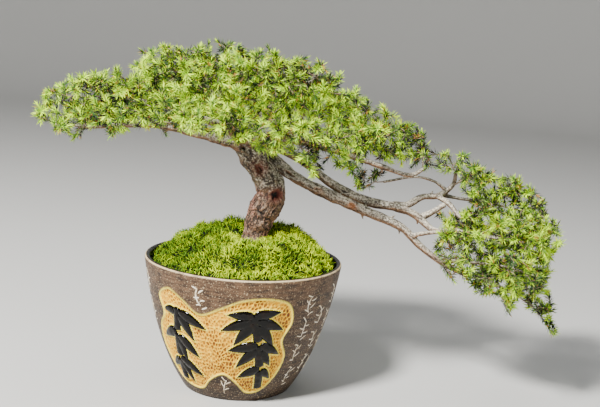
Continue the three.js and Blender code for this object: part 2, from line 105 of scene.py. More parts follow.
# Camera: where it stands, how far it looks down, its roll and its lens
CAMERA_PLACE = (49.5, -919.9, 335.2)
CAMERA_DOWN = math.radians(9.705)
CAMERA_ROLL = math.radians(3.88)
CAMERA_LENS = 60

# Where the lights aim, in metres
LIGHT_AIM = (0, 0, 0.2)

# Limbs of the tree, each a list of [x, y, z, radius] from inside the wood that carries it to its tip
LIMBS = {
    "trunk": [
        [9, -4, 92, 11], [10, -4, 145, 11.6], [14, -4, 163, 14.6], [22, -3, 186, 13.6],
        [15, -1, 202, 12.8], [3, 2, 218, 13.6], [-7, 5, 235, 11], [-11, 6, 243, 7],
    ],
    "leader_left": [[-5, 4, 230, 9], [-15, 4, 249, 6.4], [-36, 0, 272, 3.8], [-53, 0, 293, 2]],
    "leader_right": [
        [-5, 6, 230, 9], [3, 8, 248, 6.2], [16, 10, 264, 4.6], [31, 8, 280, 3.6], [53, 2, 291, 2],
    ],
    "upper_right": [
        [-1, 6, 229, 7.5], [22, 2, 237, 5.2], [46, -2, 237, 4.3], [92, -8, 227, 3.2],
        [121, -6, 219, 2.6], [150, -2, 212, 2], [163, 0, 219, 1.7],
    ],
    "lower_cascade": [
        [-3, 12, 230, 7.8], [11, 19, 223, 6.4], [40, 13, 202, 5.6], [77, 5, 187, 5], [113, 1, 174, 4.5],
        [147, -1, 161, 4], [163, -3, 147, 3.4], [184, -5, 133, 2.8], [210, -6, 122, 2.3],
        [226, -6, 119, 2], [262, -8, 104, 1.4],
    ],
    "upper_cascade": [
        [-5, 12, 231, 7.5], [14, 20, 230, 5.2], [47, 24, 216, 4.1], [80, 18, 195, 4.3],
        [113, 13, 182, 4.8], [144, 9, 179, 4.3],
    ],
    "fork_up": [
        [138, 10, 180, 4.2], [150, 12, 181, 3.3], [165, 18, 189, 3], [180, 20, 191, 3],
        [194, 25, 202, 2.3], [195, 22, 215, 1.8],
    ],
    "fork_down": [[178, 20, 191, 2.7], [190, 12, 185, 2.5], [200, 0, 174, 1.8]],
    "fan_mid": [
        [138, 10, 180, 4.2], [158, 2, 174, 3.7], [175, -9, 163, 2.9], [194, -16, 165, 2.3],
        [213, -18, 163, 2], [262, -12, 157, 1.3],
    ],
    "cut_stub": [[162, 0, 172, 3], [172, 2, 177, 2.5], [185, 7, 185, 2.7]],
    "spur": [[156, -2, 154, 2.8], [162, -8, 158, 2.2], [178, -26, 165, 1.7]],
    "inner_twig": [
        [188, 23, 196, 1.9], [176, 20, 204, 1.5], [158, 17, 208, 1.4], [126, 10, 202, 1.2],
    ],
    "left_arm": [
        [-1, 3, 226, 8.5], [-17, -4, 232, 6.4], [-43, -10, 237, 4.4], [-79, -6, 242, 3.2],
        [-119, 0, 240, 2.4], [-150, 3, 236, 1.8], [-172, 5, 237, 1.3],
    ],
    "left_back": [
        [-8, 8, 238, 6.5], [-35, 16, 247, 4.4], [-84, 24, 258, 2.8], [-130, 20, 263, 2],
        [-162, 13, 262, 1.4],
    ],
    "back_left": [[-8, 10, 238, 6.5], [-48, 52, 260, 3.6], [-80, 66, 262, 2.3]],
    "back_right": [[-5, 12, 236, 6.5], [21, 58, 257, 3.6], [58, 74, 255, 2.3]],
    "front_left": [[-7, -2, 234, 6], [-23, -44, 251, 3.4], [-38, -58, 256, 2.3]],
    "front_right": [[-2, -2, 232, 6], [35, -42, 245, 3.4], [60, -54, 241, 2.3]],
    "fan_up": [[184, 21, 192, 2.2], [200, 32, 188, 1.6], [228, 38, 185, 1.3], [262, 26, 181, 1.0]],
    "fan_low": [[185, -5, 133, 2.4], [201, -22, 138, 1.8], [234, -34, 139, 1.4], [256, -30, 134, 1.1]],
}

# Old wounds and clefts in the bark: where each starts and ends, its radius, its depth and how red it is
SCARS = [
    ([27, -16, 186], [30, -14, 187], 5.2, 4.6, 1.0), ([9, -16, 210], [14, -14, 213], 5.0, 4.0, 0.9),
    ([-6, -9, 222], [-6, -8, 226], 2.8, 3.0, 0.0), ([97, -4, 180], [99, -4, 179], 3.0, 1.4, 1.0),
    ([9, -17, 172], [16, -18, 168], 2.2, 1.4, 0.0), ([30, -12, 176], [26, -15, 170], 2.4, 1.6, 0.0),
    ([150, 4, 183], [152, 4, 183], 2.0, 1.0, 0.5), ([64, 2, 192], [67, 2, 191], 2.2, 1.2, 0.3),
    ([26, 2, 214], [37, 8, 203], 2.6, 4.0, 0.0), ([37, 8, 203], [52, 8, 197], 1.8, 2.0, 0.0),
    ([2, -14, 196], [8, -15, 204], 1.8, 1.6, 0.0), ([86, 10, 190], [98, 9, 184], 1.8, 1.6, 0.0),
]

# Short snags of dead twigs: the limb, how far along it, the side it is on in degrees and its length
SNAGS = [
    ("lower_cascade", 0.34, 250, 6), ("lower_cascade", 0.43, 100, 4.5),
    ("lower_cascade", 0.52, 300, 5), ("lower_cascade", 0.56, 80, 4), ("upper_cascade", 0.62, 90, 5),
    ("upper_cascade", 0.8, 60, 4), ("upper_cascade", 0.45, 270, 4.5), ("fan_mid", 0.2, 100, 4),
    ("fork_up", 0.5, 250, 3.5), ("left_arm", 0.3, 240, 5), ("left_arm", 0.45, 80, 4),
    ("leader_right", 0.5, 120, 4.5), ("upper_right", 0.55, 200, 5), ("upper_right", 0.75, 80, 4),
    ("trunk", 0.86, 160, 9), ("trunk", 0.9, 190, 7),
]

# The crown as the camera sees it against the upright plane through the trunk's foot: X and Z
CROWN_OUTLINE = [
    [-206, 242], [-196, 264], [-164, 282], [-122, 295], [-117, 281], [-111, 304], [-82, 320],
    [-73, 312], [-31, 323], [19, 320], [27, 311], [63, 314], [83, 293], [126, 273], [159, 256],
    [171, 229], [177, 242], [189, 233], [203, 238], [218, 219], [249, 218], [276, 199], [302, 155],
    [291, 144], [290, 115], [301, 68], [286, 81], [272, 86], [264, 99], [261, 87], [251, 90],
    [245, 102], [232, 98], [213, 112], [201, 117], [172, 141], [178, 163], [167, 182], [180, 186],
    [187, 179], [208, 186], [185, 211], [170, 216], [113, 225], [96, 205], [75, 213], [65, 201],
    [0, 232], [-22, 225], [-36, 234], [-84, 240], [-123, 233], [-134, 223], [-139, 234],
    [-153, 235], [-162, 221], [-197, 237],
]

# The tuft on the inner twig, seen in the same way
INNER_TUFT = [[97, 200], [105, 211], [114, 214], [125, 213], [125, 200], [115, 195], [100, 194]]

# The crown's right end: its shoots fan out from its heart, and it runs from its start to its tips
FAN_HEART = np.array([165, 0, 185])
FAN_START = 150
FAN_TIPS = 240

# Lengths of the shoots that grow between others, and how much of a long one bears needles
SHORTEST_SHOOT = 3.2
LONGEST_SHOOT = 24
NEEDLED_LENGTH = 9.5

# How much further off a spray's bare stem counts when a shoot picks the twig that it grows from
BARE_DETOUR = 40.0

# Along a shoot: its radius, its needles' size, how much lighter they are, younger towards the tip
# # and with painted shade towards the base, and how far they lean
SHOOT_STATIONS = np.array([
    [0.5, 0.44, 0.38, 0.3], [0.1, 0.84, 1.0, 0.76], [-0.3, -0.28, -0.05, 0.15],
    [1.1, 1.05, 0.82, 0.38],
])

# Glazed panel on the wall: its outline in millimetres to the right of the front and above the foot
PANEL_OUTLINE = [
    [-78, 26], [-86, 46], [-82, 66], [-71, 80], [-74, 97], [-60, 106], [-46, 99], [-30, 88],
    [-12, 96], [6, 105], [26, 107], [44, 101], [50, 84], [44, 66], [51, 48], [47, 28], [34, 13],
    [16, 11], [4, 21], [-10, 30], [-26, 22], [-38, 11], [-56, 10], [-70, 15],
]

# How far round the wall the panel reaches, and a distance that is far from its edge
PANEL_REACH = (-98, 66)
FAR = 30.0

# How far a stroke of the bamboo or a sprig sinks into the clay at its sides
STROKE_SETTLING = 0.12

# Bamboo on the panel. Culm joints: start, end and half width. Leaves: root, heading, length, half width
CULMS = [
    [[-63, 16], [-60, 38], 5.0], [[-59.5, 41], [-56, 64], 4.7], [[-55.5, 67], [-52, 90], 4.3],
    [[30, 15], [27, 36], 4.8], [[26.5, 39], [22, 62], 4.5], [[21.5, 65], [15, 92], 4.0],
]
LEAVES = [
    [[-51, 86], -22, 29, 5.4], [[-51, 83], -56, 25, 5.2], [[-54, 85], 168, 16, 4.4],
    [[-55, 62], -38, 27, 5.6], [[-57, 67], 202, 22, 5.2], [[-56, 60], -72, 22, 4.8],
    [[-60, 39], -26, 30, 5.6], [[-61, 37], 207, 17, 4.6], [[-59, 36], -60, 21, 5.0],
    [[16, 90], 174, 23, 4.8], [[16, 86], 197, 29, 5.6], [[17, 84], 228, 26, 5.4],
    [[15, 90], 14, 24, 5.2], [[18, 86], -16, 26, 5.6], [[19, 82], -47, 25, 5.2],
    [[22, 62], 190, 28, 5.6], [[22, 58], 221, 26, 5.4], [[23, 62], -18, 22, 5.2],
    [[24, 57], -50, 20, 4.8], [[27, 38], 199, 24, 5.2], [[28, 36], -28, 15, 4.4],
]

# Columns of small sprigs scratched through to the pale clay: where each column runs and its sprigs
SPRIG_COLUMNS = [
    [-97, 101, 2], [-117, 88, 3], [66, 98, 4], [85, 84, 3], [104, 100, 4], [-30, 104, 1], [-9, 16, 1],
    [130, 88, 4], [155, 98, 4], [180, 84, 3], [206, 98, 4], [232, 86, 3], [-137, 98, 4],
]


def linear(hex_colour):
    """An sRGB hex colour as linear red, green, blue and alpha."""
    parts = [int(hex_colour[i:i + 2], 16) / 255 for i in (1, 3, 5)]
    return (*(c / 12.92 if c <= 0.04045 else ((c + 0.055) / 1.055) ** 2.4 for c in parts), 1.0)


def colour_setting(name, description, hex_colour):
    return bpy.props.FloatVectorProperty(
        name=name, description=description, subtype="COLOR", size=4, min=0, max=1,
        default=linear(hex_colour))


def length_setting(name, description, millimetres):
    return bpy.props.FloatProperty(
        name=name, description=description, unit="LENGTH", precision=4, min=0,
        default=millimetres * MM)


class PotSettings(bpy.types.PropertyGroup):
    """Sizes and colours of the pot"""

    clay: colour_setting("Clay", "Unglazed stoneware of the wall", "#6a503a")
    clay_dark: colour_setting("Dark clay", "Smoked patches of the wall", "#33251c")
    slip: colour_setting("Slip", "Worn pale slip on the rim and in the sprigs", "#d8c19a")
    ochre: colour_setting("Ochre", "Glaze of the panel", "#f2b000")
    ochre_light: colour_setting("Light ochre", "Glaze thinned over the ridges", "#fff056")
    # Pooled glaze with painted shade: this dark ochre fills the panel's dimples
    ochre_dark: colour_setting("Dark ochre", "Glaze pooled in the dimples", "#743a00")
    black: colour_setting("Black", "Gloss glaze of the bamboo and the inside", "#070605")
    dimple: length_setting("Dimple", "Distance between the dimples of the panel", 3.9)
    ridge: length_setting("Ridge", "Height of the panel's raised edge", 1.1)
    dome: length_setting("Dome", "Height of the bamboo's thick glaze", 2.1)


class MossSettings(bpy.types.PropertyGroup):
    """Sizes and colours of the moss"""

    light: colour_setting("Light", "Tips of the blades", "#e0f414")
    middle: colour_setting("Middle", "Blades lower down", "#568004")
    # Painted shade: the blades darken towards their roots, and the mound under them takes the darkest
    # colour
    dark: colour_setting("Dark", "Depth between the blades", "#0a1402")
    blade: length_setting("Blade", "Length of a blade", 5.8)
    shoots: bpy.props.IntProperty(
        name="Shoots", description="Number of shoots, about, each with five blades", default=4300,
        min=100)
    seed: bpy.props.IntProperty(name="Seed", description="Seed of the scatter", default=5)


class WoodSettings(bpy.types.PropertyGroup):
    """Sizes and colours of the bark"""

    grey: colour_setting("Grey", "Weathered bark of the branches", "#9a8f80")
    brown: colour_setting("Brown", "Bark on the undersides", "#7a5739")
    red: colour_setting("Red", "Peeling bark low on the trunk", "#7e573d")
    dark: colour_setting("Dark", "Cracks and wounds", "#2b211b")
    lichen: colour_setting("Lichen", "Pale crust on the upper sides", "#dcd4c2")
    voxel: length_setting("Voxel", "Grain of the joined surface", 0.66)
    relief: length_setting("Relief", "Depth of the trunk's bark ridges", 1.0)


class NeedleSettings(bpy.types.PropertyGroup):
    """Sizes and colours of the needles"""

    young: colour_setting("Young", "Needles of this year", "#d2f81e")
    grown: colour_setting("Grown", "Older needles", "#467606")
    shade: colour_setting("Shade", "Needles deep inside", "#0a1003")
    band: colour_setting("Band", "Pale bloom on the needles' upper face", "#cdea78")
    dry: colour_setting("Dry", "Dying needles", "#c08a3c")
    twig: colour_setting("Twig", "Bark of the twigs", "#b49e8c")
    length: length_setting("Length", "Length of a needle", 8.3)
    width: length_setting("Width", "Width of a needle", 1.2)
    pitch: length_setting("Pitch", "Distance between whorls of three", 1.15)
    spacing: length_setting("Spacing", "Distance between the ends of shoots", 8.6)
    seed: bpy.props.IntProperty(name="Seed", description="Seed of the growth", default=11)


class StageSettings(bpy.types.PropertyGroup):
    """Floor, light and camera"""

    floor: colour_setting("Floor", "Seamless floor", "#c6c6c4")
    key: bpy.props.FloatProperty(
        name="Key", description="Main light from the upper left", default=160, min=0, unit="POWER")
    fill: bpy.props.FloatProperty(
        name="Fill", description="Weaker light from the right", default=10, min=0, unit="POWER")


def open_socket(sockets, key):
    """The socket with that number, or the first one in use with that name."""
    if isinstance(key, int):
        return sockets[key]
    return next(s for s in sockets if s.name == key and s.enabled)


def add_node(tree, kind, inputs=(), take=None, ramp=(), **settings):
    """Adds a node with its settings and inputs, and returns its output, or the node if it has none."""
    node = tree.nodes.new(kind)
    for name, value in settings.items():
        setattr(node, name, value)
    for key, value in dict(inputs).items():
        target = open_socket(node.inputs, key)
        for one in value if isinstance(value, list) else [value]:
            if isinstance(one, bpy.types.NodeSocket):
                tree.links.new(one, target)
            else:
                target.default_value = one
    if ramp:
        stops = node.color_ramp.elements
        for _ in ramp[2:]:
            stops.new(0.5)
        for stop, (place, colour) in zip(stops, ramp):
            stop.position, stop.color = place, colour
    if take is not None:
        return open_socket(node.outputs, take)
    return next((s for s in node.outputs if s.enabled), node)


def new_material(name):
    """An empty material, with what adds its nodes and its pieces' own coordinates in metres."""
    material = bpy.data.materials.new(name)
    material.use_nodes = True
    material.node_tree.nodes.clear()
    add = partial(add_node, material.node_tree)
    return material, add, add("ShaderNodeTexCoord", take="Object")


def masked(add, *masks):
    """The product of masks. Each is a socket, or a socket with the values where it starts and where
    it is full, and if need be how much it then lets through, and how much before it starts."""
    product = None
    for mask in masks:
        if isinstance(mask, tuple):
            value, start, full, most, least = mask + (1.0, 0.0)[len(mask) - 3:]
            mask = add("ShaderNodeMapRange", {
                "Value": value, "From Min": start, "From Max": full, "To Min": least, "To Max": most})
        if product is not None:
            mask = add("ShaderNodeMath", {0: product, 1: mask}, operation="MULTIPLY")
        product = mask
    return product


def coated(add, base, colour, *masks):
    """Lays a colour over a base, as far as all its masks let it through."""
    share = masked(add, *masks)
    return add("ShaderNodeMix", {"Factor": share, "A": base, "B": colour}, data_type="RGBA")


def end_material(add, colour, roughness, height=None, bump=0.0, specular=0.5):
    """Ends a material in one Principled shader, with a bump of that depth in metres."""
    inputs = {"Base Color": colour, "Roughness": roughness, "Specular IOR Level": specular}
    if height is not None:
        inputs["Normal"] = add("ShaderNodeBump", {"Height": height, "Distance": bump})
    add("ShaderNodeOutputMaterial", {"Surface": add("ShaderNodeBsdfPrincipled", inputs)})


def new_mesh(name, points, faces, smooth=True):
    """A mesh in metres from points in millimetres."""
    mesh = bpy.data.meshes.new(name)
    mesh.from_pydata((np.asarray(points) * MM).tolist(), [], [list(f) for f in faces])
    if smooth:
        mesh.shade_smooth()
    return mesh


def set_attribute(mesh, name, values, kind="FLOAT"):
    attribute = mesh.attributes.new(name, kind, "POINT")
    key = "vector" if kind == "FLOAT_VECTOR" else "value"
    attribute.data.foreach_set(key, np.asarray(values, np.float32).ravel())


def read_rows(items, field, width, kind=np.float32):
    """A field of each of a mesh's corners, edges or triangles, as rows of numbers."""
    flat = np.empty(len(items) * width, kind)
    items.foreach_get(field, flat)
    return flat.reshape(-1, width)


def coordinates(mesh):
    """The mesh's corners in millimetres."""
    return read_rows(mesh.vertices, "co", 3).astype(float) / MM


def mesh_normals(mesh):
    return read_rows(mesh.vertex_normals, "vector", 3).astype(float)


def move_corners(mesh, points):
    """Puts the mesh's corners at those points in millimetres."""
    mesh.vertices.foreach_set("co", (points * MM).astype(np.float32).ravel())
    mesh.update()


def new_object(name, data):
    """An object in the scene, at the origin."""
    thing = bpy.data.objects.new(name, data)
    bpy.context.scene.collection.objects.link(thing)
    return thing


def place_piece(name, mesh, replaced, material=None):
    """Shows a mesh as a piece of the object, in the frame, standing for the named nodes."""
    piece = new_object(name, mesh)
    if material:
        mesh.materials.clear()
        mesh.materials.append(material)
    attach(piece, "root")
    if replaced:
        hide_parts(*replaced)


def modified(mesh, kind, settings, inputs=()):
    """The mesh after one modifier with those settings, as a new plain mesh. The inputs are those of
    a Geometry Nodes tree, by name."""
    carrier = new_object("carrier", mesh)
    modifier = carrier.modifiers.new(kind.lower(), kind)
    for name, value in settings.items():
        setattr(modifier, name, value)
    for item in modifier.node_group.interface.items_tree if inputs else ():
        if item.name in inputs:
            modifier[item.identifier] = inputs[item.name]
    evaluated = carrier.evaluated_get(bpy.context.evaluated_depsgraph_get())
    result = bpy.data.meshes.new_from_object(evaluated)
    carrier.modifiers.remove(modifier)
    bpy.data.objects.remove(carrier)
    return result


def new_tree(name, inputs):
    """A Geometry Nodes tree with a geometry input and the named inputs, each a socket type."""
    tree = bpy.data.node_groups.new(name, "GeometryNodeTree")
    tree.interface.new_socket("Geometry", in_out="INPUT", socket_type="NodeSocketGeometry")
    for label, kind in inputs.items():
        tree.interface.new_socket(label, in_out="INPUT", socket_type="NodeSocket" + kind)
    tree.interface.new_socket("Geometry", in_out="OUTPUT", socket_type="NodeSocketGeometry")
    given = tree.nodes.new("NodeGroupInput")
    return tree, partial(add_node, tree), given.outputs


def turned(add, tilt, spin):
    """The way of growth at each point, tilted by an angle and spun round by another."""
    growth = add("GeometryNodeInputNamedAttribute", {"Name": "growth"}, data_type="FLOAT_VECTOR",
                 take="Attribute")
    upright = add("FunctionNodeAlignRotationToVector", {"Vector": growth}, axis="Z")
    turn = add("ShaderNodeCombineXYZ", {"X": tilt, "Z": spin})
    turn = add("FunctionNodeEulerToRotation", {"Euler": turn})
    return add("FunctionNodeRotateRotation", {"Rotation": upright, "Rotate By": turn},
               rotation_space="LOCAL")


def planted(add, model, points):
    """A model's mesh at each of the points, turned and sized as they say, as real geometry."""
    mesh = add("GeometryNodeObjectInfo", {"Object": model}, take="Geometry")
    copies = add("GeometryNodeInstanceOnPoints", {"Instance": mesh, **points})
    return add("GeometryNodeRealizeInstances", {"Geometry": copies})


def smoothstep(low, high, value):
    share = np.clip((value - low) / (high - low), 0, 1)
    return share * share * (3 - 2 * share)


def unit(vector):
    return vector / max(1e-9, np.linalg.norm(vector))


def unit_rows(rows):
    return rows / np.linalg.norm(rows, axis=1)[:, None]


def left_of(line):
    """At each point of a flat line, the unit vector to its left."""
    way = unit_rows(np.gradient(line, axis=0))
    return np.stack([-way[:, 1], way[:, 0]], axis=1)


def noise_at(points, size, shift=(0, 0, 0)):
    """Smooth noise at each point, about from -1 to 1, with features of that size."""
    return np.array([noise.noise(Vector(p) / size + Vector(shift)) for p in points])


def point_tree(points):
    """A search tree over points."""
    tree = kdtree.KDTree(len(points))
    for i, point in enumerate(points):
        tree.insert(point, i)
    tree.balance()
    return tree


def closest(points, others):
    """Distances from each point to its nearest and second nearest of the others."""
    first, second = np.empty(len(points)), np.empty(len(points))
    for i in range(0, len(points), 4000):
        span = np.linalg.norm(points[i:i + 4000, None] - others[None], axis=2)
        span = np.partition(span, 1, axis=1)
        first[i:i + 4000], second[i:i + 4000] = span[:, 0], span[:, 1]
    return first, second


def enclosed(flat, outline):
    """Which flat points lie inside a closed outline."""
    inside = np.zeros(len(flat), bool)
    for (ax, ay), (bx, by) in zip(outline, np.roll(outline, -1, axis=0)):
        crosses = (ay > flat[:, 1]) != (by > flat[:, 1])
        inside ^= crosses & (flat[:, 0] < ax + (flat[:, 1] - ay) * (bx - ax) / (by - ay + 1e-12))
    return inside


def catmull_rom(points, per_span, closed=False):
    """A centripetal curve through the points, with so many steps from each to the next."""
    points = np.asarray(points, float)
    if closed:
        points = np.vstack([points[-1], points, points[0], points[1]])
    else:
        points = np.vstack([2 * points[0] - points[1], points, 2 * points[-1] - points[-2]])
    pieces = []
    for i in range(len(points) - 3):
        a, b, c, d = points[i:i + 4]
        da, db, dc = (max(1e-4, np.linalg.norm(v)) ** 0.5 for v in (b - a, c - b, d - c))
        out = ((b - a) / da - (c - a) / (da + db) + (c - b) / db) * db
        into = ((c - b) / db - (d - b) / (db + dc) + (d - c) / dc) * db
        t = (np.arange(per_span) / per_span)[:, None]
        pieces.append(b + t * out + t ** 2 * (3 * (c - b) - 2 * out - into)
                      + t ** 3 * (2 * (b - c) + out + into))
    if not closed:
        pieces.append(points[-2:-1])
    return np.vstack(pieces)


def joined(shapes):
    """Several shapes, each its points and its faces, as one."""
    points, faces = [], []
    for corners, sides in shapes:
        faces += [tuple(len(points) + n for n in side) for side in sides]
        points += [*corners]
    return np.array(points), faces


def band(low, high, sides):
    """Quads between two closed rings of corners, each given by its first corner's number."""
    return [(low + k, low + (k + 1) % sides, high + (k + 1) % sides, high + k) for k in range(sides)]


def ring_faces(rings, sides):
    """Quads from each ring of corners to the next, for rings that are numbered in order."""
    lows = range(0, (rings - 1) * sides, sides)
    return [quad for low in lows for quad in band(low, low + sides, sides)]


def shell_faces(rings, sides):
    """Faces of a closed shell of rings, with the middles of its first and last ring as its last
    two corners."""
    last, middle = (rings - 1) * sides, rings * sides
    fans = [((k + 1) % sides, k, middle) for k in range(sides)]
    fans += [(last + k, last + (k + 1) % sides, middle + 1) for k in range(sides)]
    return ring_faces(rings, sides) + fans


def tube_faces(rings, sides):
    """Faces of a closed tube, side by side along its length, with the middles of its two ends as its
    last two corners."""
    faces, last, middle = [], (rings - 1) * sides, rings * sides
    for k in range(sides):
        n = (k + 1) % sides
        faces += [(middle, n, k), (middle + 1, last + k, last + n)]
        faces += [(low + k, low + n, low + sides + n, low + sides + k)
                  for low in range(0, last, sides)]
    return faces


def capped_faces(rings, sides):
    """Faces of a closed tube of rings, with one flat face over each end."""
    last = (rings - 1) * sides
    caps = [tuple(reversed(range(sides))), tuple(range(last, last + sides))]
    return caps + ring_faces(rings, sides)


# Pot

def pot_outer(height):
    """Outer radius of the wall: a quadratic curve from the foot to the rim."""
    span = RIM_HEIGHT - 3
    bend = span - 2 * BELLY_HEIGHT
    up = (np.sqrt(BELLY_HEIGHT ** 2 + bend * np.asarray(height, float)) - BELLY_HEIGHT) / bend
    return (1 - up) ** 2 * FOOT_RADIUS + 2 * up * (1 - up) * BELLY_RADIUS + up ** 2 * RIM_RADIUS


def pot_inner(height):
    share = np.asarray(height, float) / RIM_HEIGHT
    return pot_outer(height) - (WALL_THICKNESS + (RIM_THICKNESS - WALL_THICKNESS) * share)


def on_wall(across, height, lift):
    """Points on the pot's wall. Across is millimetres right of the front at the belly's radius."""
    turn = np.asarray(across, float) / BELLY_RADIUS
    radius = pot_outer(height) + lift
    return np.stack([radius * np.sin(turn), -radius * np.cos(turn), height + 0 * turn], axis=-1)


def stroke_shapes():
    """Each bamboo stroke as its centre line on the wall and its half widths along it."""
    shapes = []
    steps = np.linspace(0, 1, 17)
    for start, end, half in CULMS:
        line = np.asarray(start) + steps[:, None] * (np.asarray(end) - np.asarray(start))
        edge = np.clip(np.minimum(steps, 1 - steps) / 0.09, 0, 1)
        waist = 1 + 0.22 * (2 * steps - 1) ** 4
        shapes.append((line, half * waist * np.sqrt(1 - (1 - edge) ** 2 * 0.96)))
    for i, (root, heading, length, half) in enumerate(LEAVES):
        angle = math.radians(heading)
        along = np.array([math.cos(angle), math.sin(angle)])
        droop = np.array([0, -1.0]) * (1.5 + i % 3)
        line = np.asarray(root) + steps[:, None] * along * length + steps[:, None] ** 2 * droop
        width = np.sin(math.pi * steps ** 0.64) ** 0.85
        shapes.append((line, half * np.maximum(width, 0.03) + 0.8 * (1 - steps) ** 3))
    return shapes


def sprig_shapes():
    """Each scratched sprig as short strokes: a stem with leaves to both sides of it."""
    shapes = []
    steps = np.linspace(0, 1, 5)
    draw = np.random.default_rng(3)
    for across, top, count in SPRIG_COLUMNS:
        for i in range(count):
            middle = np.array([across + draw.uniform(-1.5, 1.5), top - 24 * i])
            lean = draw.uniform(-0.25, 0.25)
            stem = np.array([math.sin(lean), -math.cos(lean)])
            side = np.array([-stem[1], stem[0]])
            strokes = [(middle - 8 * stem, 16 * stem)]
            for n in range(draw.integers(4, 7)):
                root = middle + stem * (3.6 * n - 7)
                hand = 1 if n % 2 else -1
                reach = hand * side * draw.uniform(4, 6.5) + stem * draw.uniform(-5.5, 0)
                strokes.append((root, reach))
            for root, reach in strokes:
                bend = np.array([-reach[1], reach[0]]) * draw.uniform(-0.18, 0.18)
                line = root + steps[:, None] * reach + (4 * steps * (1 - steps))[:, None] * bend
                shapes.append((line, 0.36 + 0.56 * np.sin(math.pi * (0.12 + 0.8 * steps))))
    return shapes


def stroke_faces(rows, columns):
    """Faces of a closed strip: its top, then its underside, in rows and columns, and its rim."""
    under, faces = rows * columns, []
    for a in (r * columns + c for r in range(rows - 1) for c in range(columns - 1)):
        b = a + columns
        faces += [(a, b, b + 1, a + 1), (under + a, under + a + 1, under + b + 1, under + b)]
    rim = ([r * columns for r in range(rows)]
           + [(rows - 1) * columns + c for c in range(1, columns)]
           + [r * columns + columns - 1 for r in range(rows - 2, -1, -1)]
           + [c for c in range(columns - 2, 0, -1)])
    return faces + [(a, under + a, under + b, b) for a, b in zip(rim, rim[1:] + rim[:1])]


def raised_strokes(shapes, rise, sunk, columns):
    """Closed strokes that lie on the wall, domed across, with their undersides in the clay."""
    across = np.linspace(-1, 1, columns)
    strokes = []
    for line, half in shapes:
        flat = line[:, None] + across[None, :, None] * (half[:, None] * left_of(line))[:, None]
        fullness = np.minimum(1, half / (0.6 * half.max()))[:, None]
        dome = rise * fullness * ((1 - across ** 2) ** 0.7)[None]
        top = on_wall(flat[..., 0], flat[..., 1], dome - STROKE_SETTLING)
        bottom = on_wall(flat[..., 0], flat[..., 1], -sunk + 0 * dome)
        points = np.vstack([top.reshape(-1, 3), bottom.reshape(-1, 3)])
        strokes.append((points, stroke_faces(len(line), columns)))
    return joined(strokes)


def wall_relief(across, height, settings):
    """How far the wall stands proud at each point, with the masks that its glazes follow."""
    flat = np.stack([across, height], axis=1)
    outline = catmull_rom(PANEL_OUTLINE, 14, closed=True)
    near = (across > PANEL_REACH[0]) & (across < PANEL_REACH[1])
    edge = np.full(len(flat), FAR)
    edge[near] = closest(flat[near], outline)[0]
    inside = near & enclosed(flat, outline)
    depth = np.where(inside, edge, -edge)
    panel = smoothstep(-1.1, 0.3, depth)
    rims = np.vstack([line + side * half[:, None] * left_of(line)
                      for line, half in stroke_shapes() for side in (-1, 1)])
    stroke = np.full(len(flat), FAR)
    stroke[inside] = closest(flat[inside], rims)[0]

    # Dimples are taller than they are wide
    pitch = settings.dimple / MM
    squeeze = np.array([1.3, 0.9])
    draw = np.random.default_rng(4)
    columns = np.arange(*PANEL_REACH, pitch / squeeze[0])
    rows = np.arange(4, 114, 0.87 * pitch / squeeze[1])
    grid = np.array([[x + (r % 2) * pitch / 2.6, y] for r, y in enumerate(rows) for x in columns])
    grid += draw.uniform(-0.36, 0.36, grid.shape) * pitch
    first, second = np.zeros(len(flat)), np.full(len(flat), FAR)
    first[inside], second[inside] = closest(flat[inside] * squeeze, grid * squeeze)
    ridged = 1 - smoothstep(0.1, 1.1, second - first)
    quiet = smoothstep(1.0, 2.0, edge) * smoothstep(0.4, 1.1, stroke)
    pit = np.where(inside, (1 - ridged) * quiet, 0)

    rim = np.exp(-((depth - 0.3) / 0.85) ** 2)
    halo = np.where(inside, np.exp(-((stroke - 0.3) / 0.7) ** 2), 0)
    lift = settings.ridge / MM * (rim + 0.45 * halo) - 0.25 * panel - 0.85 * pit
    return lift, {"panel": panel, "ridge": np.maximum(rim, halo), "pit": pit}


def pot_rows():
    """The pot's section from the middle of its foot, up the outside, over the rim and down inside."""
    under = [(r, 0.0) for r in (0.6, 18, 34, FOOT_RADIUS - 2.2)]
    heel = [(FOOT_RADIUS - 1 + 0.55 * math.sin(a), 0.5 - 0.5 * math.cos(a)) for a in (0.2, 0.8, 1.4)]
    wall = [(None, z) for z in np.linspace(1.2, RIM_HEIGHT - 3, 140)]
    middle, half = RIM_RADIUS - RIM_THICKNESS / 2, RIM_THICKNESS / 2
    lip = [(middle + half * math.cos(a), RIM_HEIGHT - 2.4 + 2.4 * math.sin(a) ** 0.9)
           for a in np.linspace(0.1, math.pi - 0.1, 17)]
    inner = [(float(pot_inner(z)), z) for z in (119, 116, 112, 90, 56, 20)]
    floor = [(FOOT_RADIUS - 4, FLOOR_THICKNESS), (30, FLOOR_THICKNESS), (0.6, FLOOR_THICKNESS)]
    return under, heel, wall, lip, inner, floor


